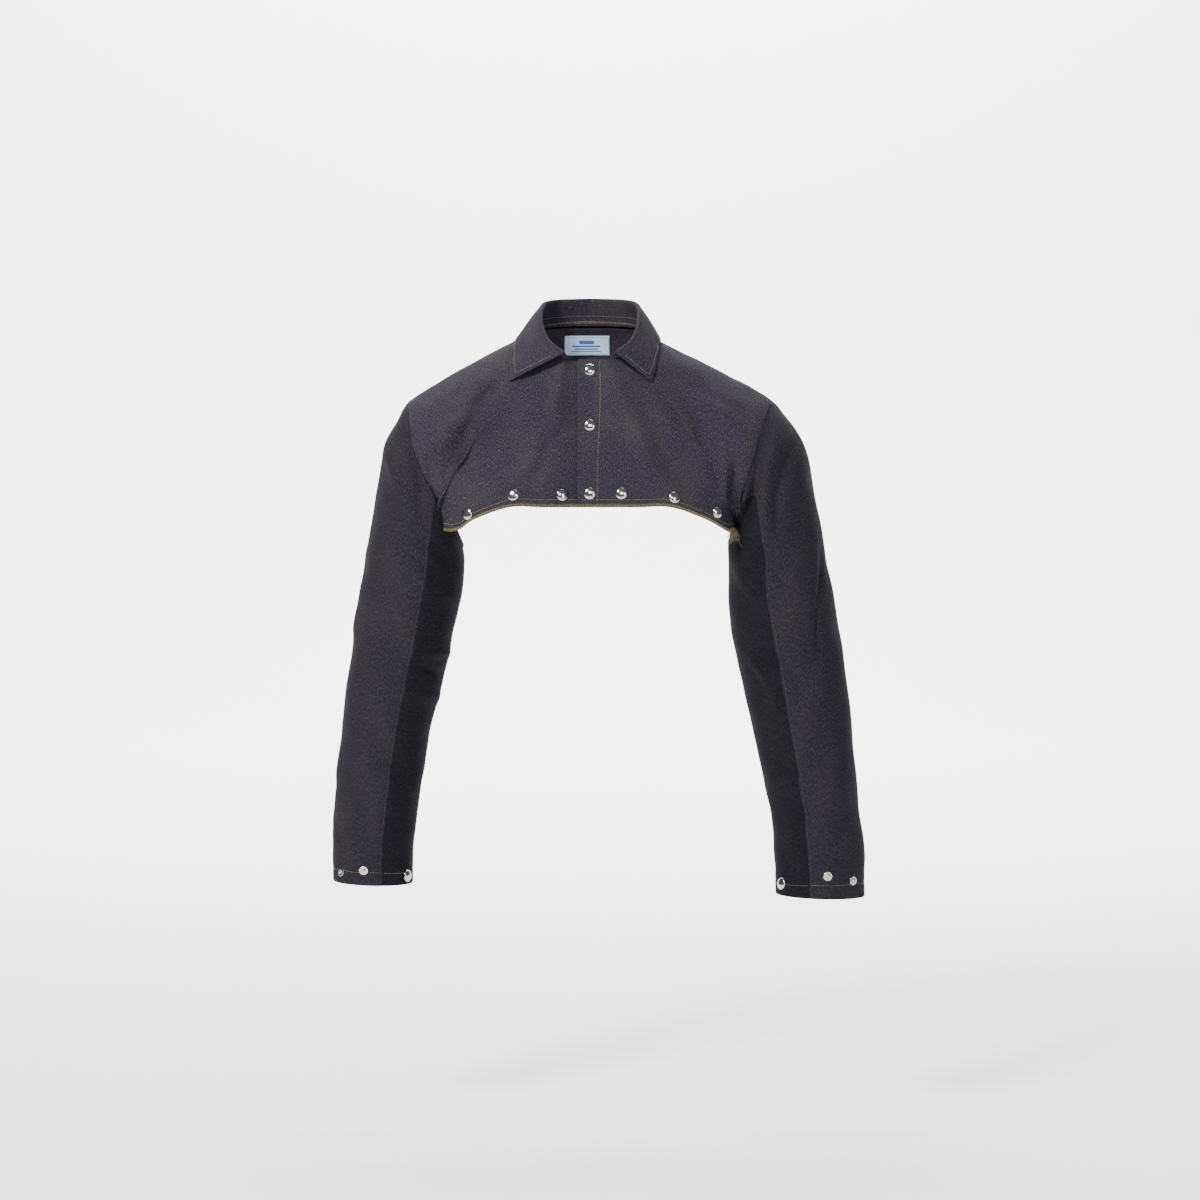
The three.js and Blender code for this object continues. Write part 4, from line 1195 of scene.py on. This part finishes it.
for name, sign in SIGN.items():
    surface = cloth_body[name]
    fold_at_hem = float(fold_ray(body[name], sign, FOLD_BETWEEN, np.array([0.95]))[0])
    edge_x = LAP if name == "left" else UNDERLAP
    down_front = np.linspace(0.012, 0.992, 150)
    lines = [hem_line(name, 0.12, fold_at_hem)]
    lines += [line_on(surface, (x + edge_x) / (16 + edge_x), down_front) for x in front_stitch_x[name]]
    sewing[f"{name}_front"] = [sew(f"{name}_front_stitches", lines)]
    shoulder = line_on(surface, RAY_SHOULDER - 0.16, np.linspace(0.12, 0.99, 120))
    sewing[f"{name}_front_side"] = [
        sew(f"{name}_side_stitches", [hem_line(name, fold_at_hem, 5.75)]),
        sew(f"{name}_armhole_stitches", [armhole_line(name, 6.1, 11.9), shoulder], "dark_thread",
            SEAM_THREAD)]
    down_back = np.linspace(0.1, 0.985, 130)
    centre_rows = [line_on(surface, RAY_BACK - away, down_back) for away in (0.14, 0.42)]
    sewing[f"{name}_back"] = [
        sew(f"{name}_back_hem_stitches", [hem_line(name, 18.25, RAY_BACK)]),
        sew(f"{name}_back_seam_stitches", [armhole_line(name, 12.1, 17.8), *centre_rows], "dark_thread",
            SEAM_THREAD)]
print("front and seam stitches sewn")

# %% Stitches of the sleeves and cuffs
def cuff_line(name, first, last, n):
    angle = np.linspace(first, last, n)
    turn = np.radians(angle)
    up = CUFF_TURNING - 2 + 2.5 * np.sin(turn + 0.6) + 0.6 * np.sin(turn * 7)
    return line_on(cloth_arm[name], angle, LAST_RING - up / RING_LENGTH)


down_seam = np.linspace(0.12, 7.95, 420)
for name in SIGN:
    seams = [line_on(cloth_arm[name], angle, down_seam)
             for angle in (seam_angle - SEAM_STITCH, 360 - seam_angle + SEAM_STITCH)]
    sewing[f"{name}_top_sleeve"] = [
        sew(f"{name}_cuff_top_stitches", [cuff_line(name, 1 - seam_angle, seam_angle - 1, 260)], "overlock",
            0.28),
        sew(f"{name}_long_seam_stitches", seams, "dark_thread", 0.24)]
    sewing[f"{name}_under_sleeve"] = [
        sew(f"{name}_cuff_under_stitches", [cuff_line(name, seam_angle + 1, 359 - seam_angle, 130)],
            "overlock", 0.28)]
print("sleeves sewn")

# %% Stitches of the collar and the label
COLLAR_STITCH = 6.0
LABEL_STITCH = 1.5
collar_sewing = dict(lift=COLLAR / 2)
v_edge = 3 - COLLAR_STITCH / FALL_LENGTH
k_end = COLLAR_END_RAY + 0.52
for name, sign in SIGN.items():
    half = collar[name]
    fold_at_edge = float(fold_ray(half, sign, COLLAR_FOLD_BETWEEN, np.array([v_edge]))[0])
    lines = [line_on(half, np.linspace(k_end, fold_at_edge, 90), v_edge),
             line_on(half, k_end, np.linspace(2.15, v_edge, 50))]
    sewing[f"{name}_collar"] = [sew(f"{name}_collar_stitches", lines, radius=0.28, **collar_sewing)]
s = np.linspace(-1, 1, 300)
sewing["back_collar"] = [
    sew("back_collar_stitches", [line_on(around_back, s, v_edge)], radius=0.28, **collar_sewing),
    sew("collar_stand_stitches", [line_on(around_back, s, 0.42)], radius=0.3, pitch=3.6, **collar_sewing)]
left, right, top, bottom = (LABEL[edge] + inward * LABEL_STITCH for edge, inward in
                            (("left", 1), ("right", -1), ("top", -1), ("bottom", 1)))
lx, lz = np.linspace(left, right, 40), np.linspace(top, bottom, 20)
border = [line_on(tape, lx, top), line_on(tape, lx, bottom), line_on(tape, left, lz),
          line_on(tape, right, lz)]
sewing["neck_label"] = [sew("label_stitches", border, "dark_thread", 0.2, pitch=2.2, length=1.6,
                            lift=LABEL_DEPTH + TAPE / 2)]
print("collar and label sewn")

# %% [markdown]
# ## Overlocking
# The hem isn't turned up: its raw edge is overlocked, wrapped in close olive loops that keep it from
# fraying. Each loop is one thread that goes down the outside, round the edge and up the inside. The same
# machine finishes the seam inside the back of the neck.


# %% Overlocked edges
def overlock(name, points, normals, up, wide, pitch, radius=0.34, half=CLOTH / 2, wrap=True):
    """Loops round an edge. `up` points from the edge into the cloth at each point."""
    run = run_of(points)
    at = np.arange(0.5, run[-1] - 0.5, pitch)
    at = at + rng.normal(0, pitch * 0.1, len(at))
    way = np.gradient(points, axis=0)
    way /= np.linalg.norm(way, axis=1, keepdims=True)
    p, n, u, t = (read(table, run, at)[:, None] for table in (points, normals, up, way))
    out = half + 0.12
    if wrap:
        shape = [(1.0, out), (0.6, out + 0.2), (0.25, out + 0.25), (0.0, out), (-0.07, 0), (0.0, -out),
                 (0.25, -out - 0.25), (0.6, -out - 0.2), (1.0, -out)]
    else:
        shape = [(1.0, out), (0.75, out + 0.2), (0.5, out + 0.25), (0.25, out + 0.2), (0.0, out)]
    reach = wide * (1 + rng.normal(0, 0.06, (len(at), 1)))
    high, off = np.array(shape).T
    high, off = high[None] * reach, off[None, :, None]
    slant = np.linspace(-0.55, 0.55, len(shape))[None, :, None] * pitch * 1.5
    paths = p + u * high[..., None] + n * off + t * slant
    return threads(name, paths, t, radius, "overlock")


def into_cloth(surface, u, v, dv):
    way = surface.slope(u, v, 0, dv)
    return -way / np.linalg.norm(way, axis=1, keepdims=True)


OVERLOCK_WIDE = 4.2
OVERLOCK_PITCH = 1.25
for name, sign in SIGN.items():
    surface = cloth_body[name]
    fold_at_hem = float(fold_ray(body[name], sign, FOLD_BETWEEN, np.array([1.0]))[0])
    runs = {f"{name}_front": (0.02, fold_at_hem), f"{name}_front_side": (fold_at_hem, 5.96),
            f"{name}_back": (18.04, RAY_BACK)}
    for owner, (first, last) in runs.items():
        k = np.linspace(first, last, 220)
        t = np.full(len(k), 0.999)
        inward = into_cloth(surface, k, t - 0.02, 1e-3)
        sewing[owner].append(overlock(f"{owner}_overlock", *line_on(surface, k, t), inward,
                                      OVERLOCK_WIDE, OVERLOCK_PITCH))
foot = line_on(around_back, np.linspace(-0.97, 0.97, 260), 0.13)
upright = np.zeros_like(foot[0]) + [0, 0, 1]
sewing["back_collar"].append(overlock("neck_seam_overlock", *foot, upright, 5.0, 1.5, half=COLLAR / 2,
                                      wrap=False))

# %% [markdown]
# ## Frayed corners
# At each underarm the overlocking ends and the raw corner has frayed into short curly tufts of warp and
# thread. Each strand wanders a little from the corner and droops.

# %% Frayed tufts at the underarms
for name, surface in cloth_body.items():
    for tag, spread_rays, count in (("front", (5.2, 6.0), 150), ("back", (18.0, 18.6), 90)):
        k = rng.uniform(*spread_rays, count)
        t = np.full(count, 0.996)
        p, _ = line_on(surface, k, t)
        down = -into_cloth(surface, k, t - 0.02, 1e-3)
        length = rng.uniform(3, 13, count)[:, None]
        way = down + rng.normal(0, 0.55, (count, 3)) + [0, -0.1, -0.2]
        curl = rng.normal(0, 1, (count, 3)) * 0.9
        s = np.linspace(0, 1, 7)
        bend = np.sin(s * math.pi * rng.uniform(0.8, 1.7, (count, 1)))
        paths = (p[:, None] + (way * length)[:, None] * s[None, :, None]
                 + curl[:, None] * bend[..., None] * length[:, None] * 0.3)
        side = rng.normal(size=(count, 1, 3))
        tuft = threads(f"{name}_{tag}_fray", paths, side, 0.2, "overlock", sides=4)
        sewing[f"{name}_front_side" if tag == "front" else f"{name}_back"].append(tuft)
print("strands sewn into the corners")

# %% [markdown]
# ## Press studs
# Each is turned on a lathe: a profile spun about its axis. A cap is a shallow dome with a rolled rim, a
# socket a ring with a bore, a stud a flange with a ball, an eyelet a thin ring. They are set out on the
# folded cloth where the CAD part has them, and stand square to it.

# %% Turned profiles of the press studs: (radius, height) from the cloth's middle
SPIN = 40
CAP_RADIUS = 7.6


def turned(name, profile, place, finish):
    """Spins a closed profile; a radius of 0 makes a single point on the axis."""
    points, rings = [], []
    for r, h in profile:
        if r == 0:
            rings.append([len(points)] * SPIN)
            points.append((0, 0, h))
        else:
            rings.append(list(range(len(points), len(points) + SPIN)))
            points += [(r * math.cos(a), r * math.sin(a), h) for a in np.arange(SPIN) * 2 * math.pi / SPIN]
    faces = []
    closed = profile[0][0] > 0
    for low, high in zip(rings, rings[1:] + (rings[:1] if closed else [])):
        for i in range(SPIN):
            j = (i + 1) % SPIN
            face = [low[i], low[j], high[j], high[i]]
            faces.append([x for n, x in enumerate(face) if x not in face[:n]])
    return make_mesh(name, [tuple(place @ Vector(p)) for p in points], faces, finish)


def rounded(points, radius=0.25):
    """Cuts each corner of a profile in two, which softens it."""
    out = []
    for i, (r, h) in enumerate(points):
        if i in (0, len(points) - 1) or r == 0:
            out.append((r, h))
            continue
        for other in (points[i - 1], points[i + 1]):
            far = math.hypot(other[0] - r, other[1] - h)
            s = min(radius / far, 0.4) if far else 0
            out.append((r + (other[0] - r) * s, h + (other[1] - h) * s))
    return out


def cap_profile(face, post_end):
    dome = [(7.5 * math.cos(a), face + 0.55 + 2.75 * math.sin(a))
            for a in np.linspace(0.06, math.pi / 2, 14)[:-1]]
    rim = [(2, post_end), (2, face), (7.2, face - 0.1), (CAP_RADIUS, face + 0.25), (7.55, face + 0.6)]
    return [(0, post_end), *rounded(rim, 0.15), *dome, (0, face + 3.3)]


def socket_profile(top):
    return rounded([(2.4, top), (2.4, top - 0.5), (3.25, top - 0.5), (3.25, top - 2.6), (5.05, top - 2.6),
                    (6.25, top - 1.2), (6.25, top), (2.4, top)], 0.25)[:-1]


def stud_profile(face, post_end):
    ball = [(2.7 * math.cos(a), face + 1.55 + 1.45 * math.sin(a))
            for a in np.linspace(-0.7, math.pi / 2, 12)[:-1]]
    flange = [(2, post_end), (2, face), (5.6, face), (5.8, face + 0.35), (5.2, face + 0.7),
              (3.4, face + 0.5), (2.3, face + 0.55)]
    return [(0, post_end), *rounded(flange, 0.15), *ball, (0, face + 3.0)]


def eyelet_profile(top):
    return rounded([(2.4, top), (2.4, top - 0.7), (5.7, top - 0.7), (6, top), (2.4, top)], 0.15)[:-1]


print("a cap is", 2 * CAP_RADIUS, "mm across")


# %% Setting the press studs on the cloth
def standing(surface, u, v, depth=0.0):
    """A matrix that stands +Z on the cloth at one place."""
    u, v = np.array([u]), np.array([v])
    n = Vector(surface.normal(u, v)[0])
    turn = Vector((0, 0, 1)).rotation_difference(n).to_matrix().to_4x4()
    return Matrix.Translation(Vector(surface.at(u, v)[0]) - n * depth) @ turn


FLAT, CURVED = 0.5, 0.7
snaps = []


def set_pair(name, owner, place, layers, kind, fit):
    """The outer and inner halves of one riveted pair, standing for the CAD part's two."""
    top = -(CLOTH / 2 + (layers - 1) * (CAD_CLOTH + CAD_GAP) + (fit - 0.3))
    if kind == "cap":
        halves = {"cap": cap_profile(fit, top - 0.4), "socket": socket_profile(top)}
    else:
        halves = {"stud": stud_profile(fit, top - 0.6), "eyelet": eyelet_profile(top)}
    for part, profile in halves.items():
        coat = "nickel" if part == kind else "worn_nickel"
        piece = turned(f"{name}_{part}_metal", profile, place, coat)
        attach(piece, owner)
        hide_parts(f"{name}_{part}")
        snaps.append(piece)


for height, (u, v) in zip(closure_heights, closure_spots):
    on_left, behind_it = (standing(cloth_body["left"], u, v, depth) for depth in (0, LAP_DEPTH))
    set_pair(f"closure_{height}", "left_front_flap", on_left, 2, "cap", FLAT)
    set_pair(f"closure_{height}", "right_front_flap", behind_it, 2, "stud", FLAT)
for name in SIGN:
    for place, (u, v) in hem_spots[name].items():
        owner = "torso" if place == "outer" else f"{name}_front_flap"
        set_pair(f"{name}_hem_{place}", owner, standing(cloth_body[name], u, v), 1, "cap", FLAT)
    for snap, (u, v) in cuff_spots[name].items():
        label, kind = (f"{name}_cuff", "cap") if snap == "cap" else (f"{name}_cuff_{snap}", "stud")
        set_pair(label, f"{name}_sleeve", standing(cloth_arm[name], u, v), 2, kind, CURVED)
print("press stud parts:", len(snaps))

# %% [markdown]
# ## Hanging every piece
# Every cloth piece is hung with its stitches, loops and strands: those on the torso are attached to its body,
# the rest only have their transforms baked. The size of each piece's cut is printed.

# %% Hang, print the cut sizes and replace
hangs = {kind: hang_on_flap for kind in ("front", "front_facing", "collar")}
hangs |= {kind: hang_on_arm for kind in ("front_side", "back", "top_sleeve", "under_sleeve", "cuff_turning")}
for node, piece in pieces.items():
    name, _, kind = node.partition("_")
    hang = hangs[kind] if name in SIGN and kind in hangs else hang_on_torso
    sewn = sewing.get(node, []) + (label_bars if node == "neck_label" else [])
    hang(piece, name)
    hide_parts(node)
    for thread in sewn:
        hang(thread, name)
    wide, long, area = sheets[piece.name]
    wide, long = math.ceil(wide * 1000) / 1000, math.ceil(long * 1000) / 1000
    print(f"{node}: {wide * 1000:.0f} x {long * 1000:.0f} mm, {area * 1e4:.0f} square cm")
for name in SIGN:
    edgings = {"front": f"{name}_front_edging", "front_side": f"{name}_side_edging", "back": "back_edging"}
    for loops, node in edgings.items():
        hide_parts(node)
print("cloth pieces hung:", len(pieces))

# %% [markdown]
# ## Studio
# A pale floor that curves up far behind, so that a camera on any side stands in front of it. A soft light
# comes from the upper left and front, with weaker ones round it, and the dim pale room gives the nickel
# something dark to mirror.

# %% Floor and backdrop
FLOOR = -0.98
FLOOR_FRONT, FLOOR_SIDE = -8, 9
BACKDROP, BACKDROP_TOP = 5.0, 6
COVE = 1.2
cove = [(BACKDROP + COVE * math.sin(a), COVE - COVE * math.cos(a)) for a in np.linspace(0.1, math.pi / 2, 14)]
profile = [(FLOOR_FRONT, 0), (BACKDROP, 0), *cove, (BACKDROP + COVE, BACKDROP_TOP)]
points = [(x, y, FLOOR + z) for x in (-FLOOR_SIDE, FLOOR_SIDE) for y, z in profile]
n = len(profile)
faces = [(i, i + 1, n + i + 1, n + i) for i in range(n - 1)]
mesh = bpy.data.meshes.new("studio_floor")
mesh.from_pydata(points, [], faces)
mesh.shade_smooth()
floor = bpy.data.objects.new("studio_floor", mesh)
bpy.context.scene.collection.objects.link(floor)


def stage_finish(name, colour, roughness):
    material = bpy.data.materials.new(name)
    material.use_nodes = True
    shader = material.node_tree.nodes["Principled BSDF"]
    shader.inputs["Base Color"].default_value = (*colour, 1)
    shader.inputs["Roughness"].default_value = roughness
    return material


floor.data.materials.append(stage_finish("floor_paper", (0.93, 0.93, 0.93), 0.9))
print("studio floor at", FLOOR, "m")


# %% Lights and camera
def area_light(name, place, aim, size, power, colour=(1, 1, 1)):
    data = bpy.data.lights.new(name, "AREA")
    data.shape, data.size, data.size_y = "RECTANGLE", size[0], size[1]
    data.energy, data.color = power, colour
    light = bpy.data.objects.new(name, data)
    light.location = place
    light.rotation_euler = (Vector(aim) - Vector(place)).to_track_quat("-Z", "Y").to_euler()
    bpy.context.scene.collection.objects.link(light)


middle = (0, 0, -0.25)
area_light("key", (-1.5, -2.1, 1.8), middle, (0.6, 0.6), 200, (1, 0.98, 0.94))
area_light("front", (0.2, -3.4, 1.0), middle, (1.3, 0.8), 30, (0.96, 0.97, 1))
area_light("fill", (1.5, -2.4, 0.2), middle, (0.5, 1.2), 18, (0.88, 0.93, 1))
area_light("top", (0.3, 0.2, 2.4), middle, (2.0, 1.2), 12)
area_light("rim", (1.9, 1.6, 1.0), middle, (0.9, 1.4), 8)
area_light("backdrop", (0, 4.2, 3.6), (0, 6.2, 0.0), (5.0, 1.2), 900)
area_light("floor_light", (0, 1.9, 3.6), (0, 4.4, FLOOR), (5.0, 1.6), 420)
world = bpy.data.worlds.new("pale_room")
world.use_nodes = True
world.node_tree.nodes["Background"].inputs["Color"].default_value = (0.95, 0.97, 1.0, 1)
world.node_tree.nodes["Background"].inputs["Strength"].default_value = 0.2
bpy.context.scene.world = world
LENS = 100
SENSOR = 36
FIELD = 1.517
distance = FIELD * LENS / SENSOR
ELEVATION = math.radians(3)
aim = Vector((0.0126, 0, -0.322))
camera_data = bpy.data.cameras.new("camera")
camera_data.lens = LENS
camera = bpy.data.objects.new("camera", camera_data)
camera.location = aim + Vector((0, -distance * math.cos(ELEVATION), distance * math.sin(ELEVATION)))
camera.rotation_euler = (aim - camera.location).to_track_quat("-Z", "Y").to_euler()
bpy.context.scene.collection.objects.link(camera)
bpy.context.scene.camera = camera
print("camera", round(distance, 2), "m away")
